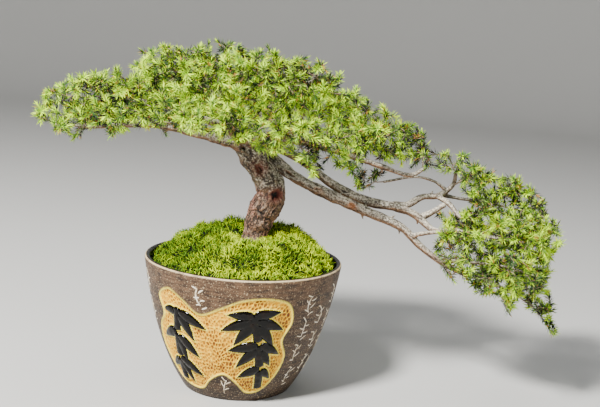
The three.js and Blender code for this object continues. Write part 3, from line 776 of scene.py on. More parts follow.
def pot_mesh(settings):
    """The whole pot as one closed shell, with the panel's relief in its outer wall."""
    fine = np.arange(math.radians(-72), math.radians(49), 0.62 / BELLY_RADIUS)
    coarse = np.linspace(fine[-1], fine[0] + 2 * math.pi, 150)[1:-1]
    turns = np.concatenate([fine, coarse])
    turns = np.where(turns > math.pi, turns - 2 * math.pi, turns)
    under, heel, wall, lip, inner, floor = pot_rows()
    section, count = under + heel + wall + lip + inner + floor, len(turns)
    first_wall, after_wall = len(under + heel), len(under + heel + wall)
    across, heights = np.tile(turns * BELLY_RADIUS, len(wall)), np.repeat([z for _, z in wall], count)
    lift, masks = wall_relief(across, heights, settings)

    outward = np.stack([np.sin(turns), -np.cos(turns), 0 * turns], 1)
    points = np.empty((len(section), count, 3))
    for i, (radius, z) in enumerate(section):
        if radius is not None:
            points[i] = radius * outward + [0, 0, z]
    points[first_wall:after_wall] = on_wall(across, heights, lift).reshape(len(wall), count, 3)
    # A hand-thrown wall is never quite round towards its rim
    sway = [0.35 * noise.noise(Vector((math.cos(t) * 2, math.sin(t) * 2, 0.3))) for t in turns]
    points[first_wall + 100:] += 0.4 * (outward * np.array(sway)[:, None])[None]
    points = np.vstack([points.reshape(-1, 3), [[0, 0, 0], [0, 0, FLOOR_THICKNESS]]])

    mesh = new_mesh("glazed_pot", points, shell_faces(len(section), count))
    rows = np.repeat(np.arange(len(section)), count)
    past_lip = smoothstep(after_wall + 4, after_wall + 5.5, rows)
    masks = {name: (first_wall * count, values) for name, values in masks.items()}
    masks["inside"] = (0, smoothstep(after_wall + 4, after_wall + 6, rows))
    masks["worn"] = (0, smoothstep(after_wall, after_wall + 2.5, rows) * (1 - past_lip))
    for name, (first, values) in masks.items():
        whole = np.zeros(len(points))
        whole[first:first + len(values)] = values
        set_attribute(mesh, name, whole)
    return mesh


def box_shape(low, high):
    points = [[x, y, z] for x in (low[0], high[0]) for y in (low[1], high[1]) for z in (low[2], high[2])]
    return points, [(0, 1, 3, 2), (4, 6, 7, 5), (0, 4, 5, 1), (2, 3, 7, 6), (0, 2, 6, 4), (1, 5, 7, 3)]


def drain_cutter():
    """Both drain holes and their channels under the foot, as one closed cutter."""
    reach, half, sides, past = FOOT_RADIUS + 12, DRAIN_CHANNEL_WIDTH / 2, 40, 3
    shapes = [box_shape((low, -half, -DRAIN_CHANNEL_DEPTH), (high, half, DRAIN_CHANNEL_DEPTH))
              for low, high in ((-reach, -DRAIN_OFFSET), (DRAIN_OFFSET, reach))]
    turns = [2 * math.pi * k / sides for k in range(sides)]
    for middle in (-DRAIN_OFFSET, DRAIN_OFFSET):
        points = [[middle + DRAIN_RADIUS * math.cos(t), DRAIN_RADIUS * math.sin(t), z]
                  for z in (-past, FLOOR_THICKNESS + past) for t in turns]
        shapes.append((points, capped_faces(2, sides)))
    return new_mesh("drain_cutter", *joined(shapes), smooth=False)


def stoneware_material(settings):
    """Thrown stoneware with a poured glaze: dry brown clay with painted shade towards the foot, a thick
    ochre panel that is pale on its ridges and dark in its dimples from pooled glaze and painted shade,
    a gloss black inside and slip worn pale on the rim."""
    material, add, place = new_material("glazed stoneware")
    panel, ridge, pit, inside, worn = (
        add("ShaderNodeAttribute", attribute_name=name, take="Fac")
        for name in ("panel", "ridge", "pit", "inside", "worn"))
    # Throwing lines run round the wall, about 2 mm apart
    round_wall = add("ShaderNodeMapping", {"Vector": place, "Scale": (1, 1, 8)})
    mottle, lines, grit, rub = (
        add("ShaderNodeTexNoise", {
            "Vector": where, "Scale": 1 / (size * MM), "Detail": detail, "Roughness": rough})
        for where, size, detail, rough in (
            (place, 11, 6.0, 0.68), (round_wall, 18, 3.0, 0.5), (place, 1.3, 2.0, 0.5),
            (place, 6, 4.0, 0.5)))
    smoke = add("ShaderNodeMath", {0: mottle, 1: lines}, operation="ADD")
    clay = coated(add, settings.clay_dark, settings.clay, (smoke, 0.78, 1.22))
    # Painted shade: the clay darkens towards the foot and is lightest at the shoulder
    height = add("ShaderNodeSeparateXYZ", {"Vector": place}, take="Z")
    foot_shade = masked(add, (height, 0.005, 0.115, 1.0, 0.42))
    clay = add("ShaderNodeVectorMath", {0: clay, 1: foot_shade}, operation="MULTIPLY")
    clay = coated(add, clay, settings.slip, (grit, 0.58, 0.72, 0.5))
    clay = coated(add, clay, settings.black, (grit, 0.4, 0.28, 0.6))
    # Painted shade and pooled glaze: dark ochre in the dimples
    pooled = masked(add, pit, mottle)
    ochre = coated(add, settings.ochre, settings.ochre_dark, (pooled, 0.33, 0.55))
    crest = add("ShaderNodeMath", {0: masked(add, (pit, 0.3, 0.0, 0.8)), 1: ridge}, operation="MAXIMUM")
    ochre = coated(add, ochre, settings.ochre_light, crest)
    ochre = coated(add, ochre, settings.ochre_dark, (mottle, 0.56, 0.7, 0.5))
    colour = coated(add, clay, ochre, panel)
    colour = coated(add, colour, settings.slip, (rub, 0.3, 0.5, 1.0, 0.25), worn)
    colour = coated(add, colour, settings.black, inside)
    glossy = masked(add, (panel, 0.0, 1.0, 0.28, 0.5))
    rough = add("ShaderNodeMix", {"Factor": inside, "A": glossy, "B": 0.12})
    dry = add("ShaderNodeMath", {0: 1.0, 1: panel}, operation="SUBTRACT")
    bumps = add("ShaderNodeMath", {0: masked(add, grit, dry), 1: lines}, operation="ADD")
    end_material(add, colour, rough, bumps, 0.5 * MM, specular=0.28)
    return material


def gloss_glaze_material(settings):
    """Thick black gloss glaze: nearly a mirror, with a slow ripple where it ran before it set, and
    painted brown reflections along the ripple.
    """
    material, add, place = new_material("gloss black glaze")
    ripple = add("ShaderNodeTexNoise", {"Vector": place, "Scale": 1 / (7 * MM), "Detail": 2.0})
    # Painted reflection: brown patches over the black where the ripple is high
    colour = coated(add, settings.black, linear("#2c1a10"), (ripple, 0.55, 0.8, 0.5))
    rough = masked(add, (ripple, 0.0, 1.0, 0.1, 0.03))
    end_material(add, colour, rough, ripple, 1.2 * MM, specular=0.22)
    return material


def slip_material(settings):
    """Pale slip showing in scratches through the clay: dry, chalky and a little stained."""
    material, add, place = new_material("scratched slip")
    stain = add("ShaderNodeTexNoise", {"Vector": place, "Scale": 1 / (4 * MM), "Detail": 3.0})
    colour = coated(add, linear("#ece2cf"), settings.slip, (stain, 0.4, 0.7))
    end_material(add, colour, 0.8, stain, 0.2 * MM)
    return material


class BONSAI_OT_pot(bpy.types.Operator):
    """Makes the glazed pot, the bamboo on its panel and the sprigs scratched in its clay"""

    bl_idname = "bonsai.pot"
    bl_label = "Pot"

    def execute(self, context):
        settings = context.scene.bonsai_pot
        cutter = new_object("drain_cutter", drain_cutter())
        mesh = modified(pot_mesh(settings), "BOOLEAN", {
            "operation": "DIFFERENCE", "object": cutter, "solver": "MANIFOLD"})
        bpy.data.objects.remove(cutter)
        mesh.shade_smooth()
        place_piece("glazed_pot", mesh, ["pot"], stoneware_material(settings))
        bamboo = raised_strokes(stroke_shapes(), settings.dome / MM, sunk=1.6, columns=9)
        place_piece("bamboo_motif", new_mesh("bamboo_motif", *bamboo), [],
                    gloss_glaze_material(settings))
        sprigs = raised_strokes(sprig_shapes(), 0.3, sunk=0.8, columns=3)
        place_piece("scratched_sprigs", new_mesh("scratched_sprigs", *sprigs), [],
                    slip_material(settings))
        return {"FINISHED"}


# Filling

def moss_height(x, y):
    """Level of the moss, in millimetres: a clumpy mound that dips round the trunk."""
    reach = np.minimum(1, np.hypot(x, y) / pot_inner(SOIL_LEVEL))
    dome = (1 - reach ** 3) ** 0.65
    lean = 1 + 0.12 * (x / RIM_RADIUS) + 0.2 * (y / RIM_RADIUS)
    trunk_x, trunk_y = LIMBS["trunk"][1][:2]
    dip = MOSS_DIP * np.exp(-((x - trunk_x) ** 2 + (y - trunk_y) ** 2) / (2 * MOSS_DIP_REACH ** 2))
    clumps = 1.6 * np.sin(x / 6.1 + 1) * np.cos(y / 5.3) + 1.1 * np.sin((x + y) / 3.9)
    return MOSS_EDGE_LEVEL + dome * (MOSS_RISE * lean - dip + clumps)


def moss_mound_mesh(sink):
    """The lumpy mound under the blades, sunk below the moss's level, as a closed body."""
    edge = float(pot_inner(SOIL_LEVEL)) - MOSS_WALL_GAP
    rings, sides, floor_level = 36, 144, SOIL_LEVEL + 0.3
    turns = 2 * math.pi * np.arange(sides) / sides
    points = [[0, 0, float(moss_height(0, 0)) - sink]]
    for share in np.sin(math.pi / 2 * (np.arange(1, rings + 1) / rings) ** 0.85):
        x, y = edge * share * np.cos(turns), edge * share * np.sin(turns)
        shoulder = 4.5 * math.exp(-((share - 0.9) / 0.12) ** 2)
        z = np.maximum(moss_height(x, y) - sink - shoulder, SOIL_LEVEL + 1)
        points += np.stack([x, y, z], 1).tolist()
    low = np.stack([edge * np.cos(turns), edge * np.sin(turns), 0 * turns + floor_level], 1)
    points = np.array([*points, *low, [0, 0, floor_level]])
    faces = []
    for k in range(sides):
        n = (k + 1) % sides
        faces.append((0, 1 + k, 1 + n))
        for a in range(1, 1 + rings * sides, sides):
            faces.append((a + k, a + sides + k, a + sides + n, a + n))
        faces.append((1 + rings * sides + n, 1 + rings * sides + k, len(points) - 1))
    # The moss grew as small cushions, sunk at the seams where they meet; painted shade darkens the seams
    cushion = np.array([noise.voronoi(Vector(p) / MOSS_CUSHION)[0][:2] for p in points])
    seam = smoothstep(0.0, 0.5, cushion[:, 1] - cushion[:, 0])
    top = points[:, 2] > SOIL_LEVEL + 4
    points[top, 2] += MOSS_CUSHION_RISE * (seam[top] - 0.7)
    mesh = new_mesh("moss_mound_base", points, faces)
    # The blades stand between upright and square to the mound, and lean in from the pot's wall
    reach = np.linalg.norm(points[:, :2], axis=1)
    growth = 0.75 * mesh_normals(mesh) + [0, 0, 0.5]
    growth += 0.8 * np.array([noise.noise_vector(Vector(p) / 7) for p in points])
    inwards = points[:, :2] / np.maximum(reach, 1)[:, None]
    growth[:, :2] -= inwards * (0.8 * smoothstep(0.8, 0.99, reach / edge))[:, None]
    # Painted light: the moss is lighter towards the right front and darker towards the left back
    lit_side = smoothstep(-60, 70, points[:, 0] - 0.8 * points[:, 1]) - 0.5
    tone = 0.5 + 0.45 * noise_at(points, MOSS_CUSHION) + 0.3 * noise_at(points, 6)
    set_attribute(mesh, "growth", unit_rows(growth), "FLOAT_VECTOR")
    set_attribute(mesh, "covered", points[:, 2] > SOIL_LEVEL + 2.5)
    # Painted shade: the tone drops in the seams between cushions
    set_attribute(mesh, "tone", tone + 0.35 * (seam - 0.8) + 0.35 * lit_side)
    # The mound is at the blades' roots, so it takes their painted shade
    set_attribute(mesh, "along", np.zeros(len(points)))
    return mesh


def awl_mesh(name, middle, tip, turns=((0, 0),)):
    """Three-sided bodies pointed at both ends, from one place, each tilted from Z and spun by its two
    turns. The middle is height, offset, half width and thickness, and the tip height and offset."""
    height, offset, half, thick = middle
    points = np.array([[0, 0, 0], [-half, offset, height], [half, offset, height],
                       [0, offset - thick, height], [0, tip[1], tip[0]]])
    faces = [(1, 2, 0), (2, 3, 0), (3, 1, 0), (4, 2, 1), (4, 3, 2), (4, 1, 3)]
    spun = [np.array(Matrix.Rotation(spin, 3, "Z") @ Matrix.Rotation(tilt, 3, "X"))
            for tilt, spin in turns]
    mesh = new_mesh(name, *joined([(points @ turn.T, faces) for turn in spun]), smooth=False)
    set_attribute(mesh, "along", np.tile(points[:, 2] / tip[0], len(turns)))
    return mesh


def blade_tree():
    """Geometry Nodes: scatters curved blades over a mound, along its ways of growth."""
    tree, add, given = new_tree("moss_blades", {
        "Blade": "Object", "Density": "Float", "Seed": "Int", "Material": "Material"})
    covered = add("GeometryNodeInputNamedAttribute", {"Name": "covered"}, data_type="FLOAT",
                  take="Attribute")
    points = add("GeometryNodeDistributePointsOnFaces", {
        "Mesh": given["Geometry"], "Selection": covered, "Density": given["Density"],
        "Seed": given["Seed"]}, take="Points")
    tilt, spin, size = (
        add("FunctionNodeRandomValue", {"Min": low, "Max": high, "Seed": seed}, data_type="FLOAT",
            take="Value")
        for low, high, seed in ((0.1, 1.5, 1), (0.0, 2 * math.pi, 2), (0.65, 1.25, 3)))
    blades = planted(add, given["Blade"], {
        "Points": points, "Rotation": turned(add, tilt, spin), "Scale": size})
    whole = add("GeometryNodeJoinGeometry", {"Geometry": [blades, given["Geometry"]]})
    whole = add("GeometryNodeSetMaterial", {"Geometry": whole, "Material": given["Material"]})
    add("NodeGroupOutput", {"Geometry": whole})
    return tree


def moss_material(settings):
    """Living cushion moss: matt, translucent-looking blades, pale at the tips and with painted shade
    dark at their roots and on the mound between them.
    """
    material, add, place = new_material("cushion moss")
    along, tone = (add("ShaderNodeAttribute", attribute_name=name, take="Fac")
                   for name in ("along", "tone"))
    fleck = add("ShaderNodeTexNoise", {"Vector": place, "Scale": 1 / (3 * MM), "Detail": 2.0})
    # Painted shade: the level falls towards each blade's root
    level = 0.0
    for value, least, most in ((along, -0.38, 0.95), (fleck, -0.45, 0.45), (tone, -0.36, 0.3)):
        level = add("ShaderNodeMath", {0: level, 1: masked(add, (value, 0.0, 1.0, most, least))},
                    operation="ADD")
    colour = add("ShaderNodeValToRGB", {"Fac": level}, take="Color", ramp=[
        (0.0, settings.dark), (0.42, settings.middle), (0.95, settings.light)])
    end_material(add, colour, 0.75, specular=0.2)
    return material


def soil_material():
    """Granular bonsai soil: dry dark crumbs of about 3 mm, with lighter grit among them."""
    material, add, place = new_material("granular soil")
    crumbs, shade = (add("ShaderNodeTexVoronoi", {"Vector": place, "Scale": 1 / (3 * MM)}, take=name)
                     for name in ("Distance", "Color"))
    shade = add("ShaderNodeSeparateColor", {"Color": shade}, take="Red")
    colour = add("ShaderNodeValToRGB", {"Fac": shade}, take="Color", ramp=[
        (0.0, linear("#2a1e17")), (0.7, linear("#4b3626")), (1.0, linear("#8a7358"))])
    end_material(add, colour, 0.95, crumbs, 1.2 * MM)
    return material


def screen_material():
    """Moulded black polypropylene mesh: slightly glossy, with a fine mould grain."""
    material, add, place = new_material("moulded polypropylene")
    grain = add("ShaderNodeTexNoise", {"Vector": place, "Scale": 1 / (0.6 * MM), "Detail": 2.0})
    colour = coated(add, linear("#141518"), linear("#26282c"), grain)
    rough = masked(add, (grain, 0.0, 1.0, 0.6, 0.4))
    end_material(add, colour, rough, grain, 0.1 * MM)
    return material


class BONSAI_OT_moss(bpy.types.Operator):
    """Makes the moss, and finishes the soil and the drain screens under it"""

    bl_idname = "bonsai.moss"
    bl_label = "Moss"

    def execute(self, context):
        settings = context.scene.bonsai_moss
        length = settings.blade / MM
        turns = [(0.3, 0.3), (0.95, 1.7), (1.35, 2.8), (0.8, 4.1), (1.2, 5.4)]
        shoot = new_object("moss_shoot", awl_mesh(
            "moss_shoot", (0.5 * length, -0.9, 0.46, 0.42), (0.9 * length, 2.6), turns))
        mound = moss_mound_mesh(sink=3.0)
        area = sum(face.area for face in mound.polygons if face.normal.z > -0.5)
        mesh = modified(mound, "NODES", {"node_group": blade_tree()}, {
            "Blade": shoot, "Density": settings.shoots / area, "Seed": settings.seed,
            "Material": moss_material(settings)})
        bpy.data.objects.remove(shoot)
        place_piece("moss_cushion", mesh, ["moss_mound"])
        screen = screen_material()
        paint = {"soil": soil_material(), "drain_screen_left": screen, "drain_screen_right": screen}
        for node, material in paint.items():
            frame["nodes"][node].data.materials.clear()
            frame["nodes"][node].data.materials.append(material)
        return {"FINISHED"}


# Wood

def limb_samples(name, step=1.5):
    """Points along a limb with their frames, radii and distances from its start."""
    table = np.array(LIMBS[name], float)
    dense = catmull_rom(table[:, :3], 24)
    run, chords = (np.concatenate([[0], np.cumsum(np.linalg.norm(np.diff(line, axis=0), axis=1))])
                   for line in (dense, table[:, :3]))
    along = np.linspace(0, run[-1], max(8, int(run[-1] / step)))
    centre = np.stack([np.interp(along, run, dense[:, i]) for i in range(3)], 1)
    radius = np.interp(along / run[-1], chords / chords[-1], table[:, 3])
    tangent = unit_rows(np.gradient(centre, axis=0))
    normal = np.cross(tangent[0], [0, 0, 1] if abs(tangent[0][2]) < 0.9 else [1, 0, 0])
    normals = []
    for direction in tangent:
        normal = normal - direction * np.dot(normal, direction)
        normal = normal / np.linalg.norm(normal)
        normals.append(normal)
    normals = np.array(normals)
    return centre, tangent, normals, np.cross(tangent, normals), radius, along


def limb_tube(name, number):
    """A closed tapering tube for one limb, with slow flutes and knots in its section."""
    centre, tangent, normal, binormal, radius, along = limb_samples(name)
    sides = 28 if radius.max() > 10 else 14
    turns = 2 * math.pi * np.arange(sides) / sides
    points = []
    for i in range(len(centre)):
        flute = (1 + 0.055 * np.sin(3 * turns + along[i] / 19 + number)
                 + 0.045 * np.sin(2 * turns - along[i] / 27 + 2 * number))
        knot = 1 + 0.17 * noise.noise(Vector((along[i] / 9, number * 3.1, 0.5)))
        start = 1 + 0.14 * math.exp(-along[i] / (2 * radius[0])) * (name != "trunk")
        ring = radius[i] * flute * knot * start
        points.append(centre[i] + normal[i] * (ring * np.cos(turns))[:, None]
                      + binormal[i] * (ring * np.sin(turns))[:, None])
    points = np.vstack([*points, centre[:1], centre[-1:] + tangent[-1:] * 0.3 * radius[-1]])
    return points, tube_faces(len(centre), sides)


def snag_tube(name, share, side, length):
    """A closed tapering snag that stands out of a limb and leans towards its tip."""
    centre, tangent, normal, binormal, radius, _ = limb_samples(name)
    i, sides = int(share * (len(centre) - 1)), 6
    turn = math.radians(side)
    out = normal[i] * math.cos(turn) + binormal[i] * math.sin(turn)
    way = unit(out + 0.6 * tangent[i])
    root = centre[i] + out * (radius[i] - 1.5)
    thick = 0.9 + 0.08 * radius[i]
    across = unit(np.cross(way, tangent[i]))
    other = np.cross(way, across)
    stations = ((0, 1.3), (2.5, 1), (1.5 + length, 0.55))
    points = [root + way * reach + thick * size * (across * math.cos(t) + other * math.sin(t))
              for reach, size in stations for t in np.arange(sides) * 2 * math.pi / sides]
    faces = [tuple(range(sides - 1, -1, -1)), tuple(range(2 * sides, 3 * sides))]
    for k in range(sides):
        n = (k + 1) % sides
        faces += [(low + k, low + n, low + sides + n, low + sides + k) for low in (0, sides)]
    return points, faces


def relaxed(points, edges, weight, rounds):
    """Moves each point towards the middle of its neighbours, by its own weight, a few times."""
    count = len(points)
    degree = np.bincount(edges.ravel(), minlength=count)
    for _ in range(rounds):
        total = np.empty_like(points)
        for axis in range(3):
            total[:, axis] = (
                np.bincount(edges[:, 0], points[edges[:, 1], axis], minlength=count)
                + np.bincount(edges[:, 1], points[edges[:, 0], axis], minlength=count))
        points = points + (weight * 0.5)[:, None] * (total / degree[:, None] - points)
    return points


def bark_places(points):
    """For each point, the limb's radius there, how far along it is and its angle round it."""
    parts = [limb_samples(name, 2.0) for name in LIMBS]
    centre, tangent, normal, binormal, radius, along = (np.concatenate(p) for p in zip(*parts))
    # Limbs start far from one another along the bark's pattern, so that no two look alike
    along = along + np.repeat(np.arange(len(parts)) * 431.0, [len(p[0]) for p in parts])
    tree = point_tree(centre)
    pick = np.array([min(tree.find_n(p, 14), key=lambda hit: hit[2] / radius[hit[1]])[1]
                     for p in points])
    away = points - centre[pick]
    angle = np.arctan2(np.sum(away * binormal[pick], 1), np.sum(away * normal[pick], 1))
    step = np.sum(away * tangent[pick], 1)
    return radius[pick], along[pick] + step, angle


def bark_relief(points, radius, along, angle):
    """Height of the bark: flaking plates and crumbs on thick wood, long fine wrinkles on thin wood."""
    height = np.empty(len(points))
    for i, (p, r, a, t) in enumerate(zip(points, radius, along, angle)):
        round_x, round_y = r * math.cos(t), r * math.sin(t)
        fibre = noise.noise(Vector((round_x / 1.5, round_y / 1.5, a / 12)))
        plate = noise.noise(Vector((round_x / 3.8, round_y / 3.8, a / 9 + 7)))
        place = Vector(p)
        flake = noise.cell(place / 2.3 + 0.7 * noise.noise_vector(place / 3))
        crumb = noise.noise(place / 1.2)
        split = 1 - min(1, abs(plate) * 5)
        thick = min(1, max(0, (r - 6) / 5))
        height[i] = (0.55 * fibre + (0.15 + 0.35 * thick) * crumb + 0.4 * thick * (flake - 0.5)
                     - 0.7 * split * split)
    return height


def scarred(points, lift):
    """The lift of the bark with wounds and clefts cut in it, and how much each point lies in a wound
    and how red it is."""
    wound, redness = np.zeros(len(points)), np.zeros(len(points))
    uneven = noise_at(points, 3.2) + 0.6 * noise_at(points, 1.3)
    for start, end, reach, sunk, red in SCARS:
        run = np.subtract(end, start)
        share = np.clip((points - start) @ run / (run @ run), 0, 1)
        away = np.linalg.norm(points - start - share[:, None] * run, axis=1) / reach
        away = np.maximum(0, away + 0.75 * uneven * np.exp(-away))
        swelling = np.exp(-((away - 1.15) / 0.35) ** 2) * 0.28 * sunk
        lift = lift + (swelling - sunk * np.exp(-away ** 2 * 1.6))
        wound = np.maximum(wound, np.exp(-away ** 2 * 1.3))
        redness = np.maximum(redness, red * np.exp(-away ** 2 * 0.75))
    return lift, wound, redness


def wood_mesh(settings):
    """Every limb joined in one skin, relaxed at the joints and covered in bark."""
    tubes = [limb_tube(name, number) for number, name in enumerate(LIMBS)]
    tubes += [snag_tube(*snag) for snag in SNAGS]
    mesh = modified(new_mesh("limbs", *joined(tubes)), "REMESH", {
        "mode": "VOXEL", "voxel_size": settings.voxel})
    where, edges = coordinates(mesh), read_rows(mesh.edges, "vertices", 2, np.int32)
    radius, along, angle = bark_places(where)
    where = relaxed(where, edges, 0.2 + 0.8 * smoothstep(3, 8, radius), 6)
    move_corners(mesh, where)
    relief = bark_relief(where, radius, along, angle)
    depth = settings.relief / MM * (0.2 + 0.8 * smoothstep(1.5, 11, radius))
    lift, wound, redness = scarred(where, (relief - 0.1) * depth)
    move_corners(mesh, where + mesh_normals(mesh) * lift[:, None])
    groove = np.clip(0.5 + 0.55 * relief, 0, 1)
    for name, values in (("groove", groove), ("thick", radius), ("wound", wound), ("redness", redness)):
        set_attribute(mesh, name, values)
    fibre = np.stack([radius * np.cos(angle), radius * np.sin(angle), along / FIBRE_STRETCH], 1)
    set_attribute(mesh, "fibre", fibre * MM, "FLOAT_VECTOR")
    count = sum(len(face.vertices) - 2 for face in mesh.polygons)
    return modified(mesh, "DECIMATE", {"ratio": min(1, WOOD_TRIANGLES / count)})


def bark_material(settings):
    """Old juniper bark: dry grey fibres, brown below, red where it has peeled low on the trunk,
    near black in its splits and crusted with pale lichen on top, with a painted pink highlight on the
    trunk's left side and painted shade in the middles of its wounds."""
    material, add, place = new_material("juniper bark")
    fibre = add("ShaderNodeAttribute", attribute_name="fibre", take="Vector")
    groove, thick, wound, redness = (add("ShaderNodeAttribute", attribute_name=name, take="Fac")
                                     for name in ("groove", "thick", "wound", "redness"))
    normal = add("ShaderNodeNewGeometry", take="Normal")
    level, facing, sideways = (add("ShaderNodeSeparateXYZ", {"Vector": vector}, take=axis)
                               for vector, axis in ((place, "Z"), (normal, "Z"), (normal, "X")))
    streak, patch, blotch, flake, pit = (
        add("ShaderNodeTexNoise", {
            "Vector": vector, "Scale": 1 / (size * MM), "Detail": detail, "Roughness": rough})
        for vector, size, detail, rough in (
            (fibre, 1.5, 3.0, 0.5), (place, 8, 4.0, 0.65), (place, 5.2, 3.0, 0.65),
            (place, 1.7, 3.0, 0.65), (place, 1.3, 1.0, 0.65)))
    trunk = masked(add, (thick, 8.5, 12.0))
    low = masked(add, (level, 0.194, 0.186), trunk)
    old = masked(add, (level, 0.188, 0.197), trunk)
    colour = coated(add, settings.grey, settings.brown, (facing, 0.35, -0.4, 0.95))
    colour = coated(add, colour, linear("#7b745c"), old, (blotch, 0.4, 0.6, 0.85))
    colour = coated(add, colour, linear("#6a553d"), trunk, (patch, 0.42, 0.58, 0.75, 0.1))
    colour = coated(add, colour, settings.red, low, (blotch, 0.4, 0.6, 0.8, 0.3))
    # Pink on the trunk's left side is a painted highlight facing the key light; the pink patch low on
    # the
    #     # right is fresh bark where the old layers have come away
    left = masked(add, (sideways, -0.35, -0.8), (level, 0.158, 0.17, 1.0, 0.25))
    right = masked(add, (sideways, 0.2, 0.7), (level, 0.168, 0.158, 0.8))
    pink_highlight_and_peel = add("ShaderNodeMath", {0: left, 1: right}, operation="MAXIMUM")
    colour = coated(add, colour, linear("#c48674"), low, pink_highlight_and_peel, (patch, 0.42, 0.54, 0.95))
    streaked = masked(add, (streak, 0.36, 0.62, 1.45, 0.5))
    colour = add("ShaderNodeVectorMath", {0: colour, 1: streaked}, operation="MULTIPLY")
    flaked = masked(add, (flake, 0.36, 0.64, 1.5, 0.42))
    flaked = add("ShaderNodeVectorMath", {0: colour, 1: flaked}, operation="MULTIPLY")
    colour = coated(add, colour, flaked, (thick, 3.0, 8.0, 0.9, 0.6))
    # The lichen is densest on flakes that face up, and thinner on the trunk
    colour = coated(add, colour, settings.lichen, (flake, 0.45, 0.55), (blotch, 0.38, 0.5),
                    (facing, -0.5, 0.35, 0.9), (low, 0.0, 1.0, 0.15, 1.0), (thick, 7.0, 12.0, 0.7, 1.0))
    colour = coated(add, colour, settings.dark, (pit, 0.4, 0.33, 0.95), (thick, 2.0, 8.0, 1.0, 0.6))
    colour = coated(add, colour, settings.dark, (groove, 0.38, 0.15, 0.9))
    fresh = coated(add, linear("#c8783c"), linear("#80331f"), (thick, 6.0, 9.0))
    colour = coated(add, colour, fresh, redness, (flake, 0.38, 0.52, 1.0, 0.4))
    colour = coated(add, colour, linear("#4a1a14"), (wound, 0.3, 0.5, 0.8), redness, trunk)
    # Painted shade: the deep middle of each wound and cleft is near black
    colour = coated(add, colour, linear("#120d0b"), (wound, 0.6, 0.85))
    bumps = add("ShaderNodeMath", {0: streak, 1: flake}, operation="ADD")
    end_material(add, colour, 0.85, bumps, 0.8 * MM)
    return material


class BONSAI_OT_wood(bpy.types.Operator):
    """Makes the trunk and its branches with their bark"""

    bl_idname = "bonsai.wood"
    bl_label = "Wood"

    def execute(self, context):
        settings = context.scene.bonsai_wood
        mesh = wood_mesh(settings)
        mesh.shade_smooth()
        place_piece("juniper_wood", mesh, ["trunk_and_branches"],
                    bark_material(settings))
        return {"FINISHED"}


# Needles

def node_corners(name):
    """A node's corners, each once, in millimetres, with its triangles."""
    mesh = frame["nodes"][name].data
    where = coordinates(mesh)
    _, first, inverse = np.unique(np.round(where, 3), axis=0, return_index=True, return_inverse=True)
    mesh.calc_loop_triangles()
    triangles = read_rows(mesh.loop_triangles, "vertices", 3, np.int32)
    return where[first], np.asarray(inverse).ravel()[triangles]


def needle_tips(points, triangles):
    """Which corners are needle points: sharp ones that only three long triangles meet at."""
    uses = np.bincount(triangles.ravel(), minlength=len(points))
    shortest = np.full(len(points), 1e9)
    for a, b in ((0, 1), (1, 2), (2, 0)):
        span = np.linalg.norm(points[triangles[:, a]] - points[triangles[:, b]], axis=1)
        np.minimum.at(shortest, triangles[:, a], span)
        np.minimum.at(shortest, triangles[:, b], span)
    return (uses == 3) & (shortest > 4.5)


def twig_rings(points):
    """Middles of the twigs' three-cornered rings."""
    rings, left = [], points
    while len(left):
        near = np.linalg.norm(left - left[0], axis=1) < 2.5
        rings.append(left[near].mean(axis=0))
        left = left[~near]
    return np.array(rings)


def grow_skeleton(rings, root):
    """Joins the rings from the root outwards, each to the nearest one that is joined already."""
    parent = np.full(len(rings), -1)
    reached = np.linalg.norm(rings - rings[root], axis=1)
    link = np.full(len(rings), root)
    run = np.zeros(len(rings))
    left = set(range(len(rings))) - {root}
    while left:
        best = min(left, key=lambda i: reached[i] + 0.25 * run[link[i]])
        left.discard(best)
        parent[best] = link[best]
        run[best] = run[link[best]] + np.linalg.norm(rings[best] - rings[link[best]])
        span = np.linalg.norm(rings - rings[best], axis=1)
        closer = span + 0.25 * run[best] < reached + 0.25 * run[link]
        reached = np.where(closer, span, reached)
        link = np.where(closer, best, link)
    return parent, run


def skeleton_paths(parent):
    """Splits the joined rings into runs, each from a fork to an end along its longest way."""
    children = [[] for _ in parent]
    for i, p in enumerate(parent):
        if p >= 0:
            children[p].append(i)
    size = np.ones(len(parent))

    def weigh(i):
        for child in children[i]:
            size[i] += weigh(child)
        return size[i]

    root = int(np.flatnonzero(parent < 0)[0])
    weigh(root)
    paths, starts = [], [[root]]
    while starts:
        path = starts.pop()
        while children[path[-1]]:
            ways = sorted(children[path[-1]], key=lambda c: -size[c])
            starts += [[path[-1], way] for way in ways[1:]]
            path.append(ways[0])
        if len(path) > 1:
            paths.append(path)
    return paths, size


def seen_in_front(points):
    """Where the camera sees points against the upright plane through the pot's middle: X and Z."""
    eye = np.array(CAMERA_PLACE)
    reach = -eye[1] / (points[:, 1] - eye[1])
    return (eye + (points - eye) * reach[:, None])[:, [0, 2]]


def in_crown(points, margin):
    """Which points the camera sees inside the crown, at least so far from its outline."""
    flat = seen_in_front(points)
    inside = enclosed(flat, INNER_TUFT)
    outline = np.array(CROWN_OUTLINE, float)
    steps = np.linspace(0, 1, 6)[:-1, None, None]
    dense = (outline + steps * (np.roll(outline, -1, axis=0) - outline)).reshape(-1, 2)
    return inside | (enclosed(flat, outline) & (closest(flat, dense)[0] > margin))


def apart(points, spacing, taken=()):
    """Picks points in order, each at least so far from those taken and those picked before it."""
    cells, kept, given = {}, [], sum(map(len, taken))
    near = [(a, b, c) for a in (-1, 0, 1) for b in (-1, 0, 1) for c in (-1, 0, 1)]
    for i, point in enumerate(np.vstack([*taken, points])):
        x, y, z = (point // spacing).astype(int)
        others = [q for a, b, c in near for q in cells.get((x + a, y + b, z + c), ())]
        if i >= given:
            if others and np.min(np.sum((np.array(others) - point) ** 2, axis=1)) < spacing ** 2:
                continue
            kept.append(i - given)
        cells.setdefault((x, y, z), []).append(point)
    return np.array(kept, int)


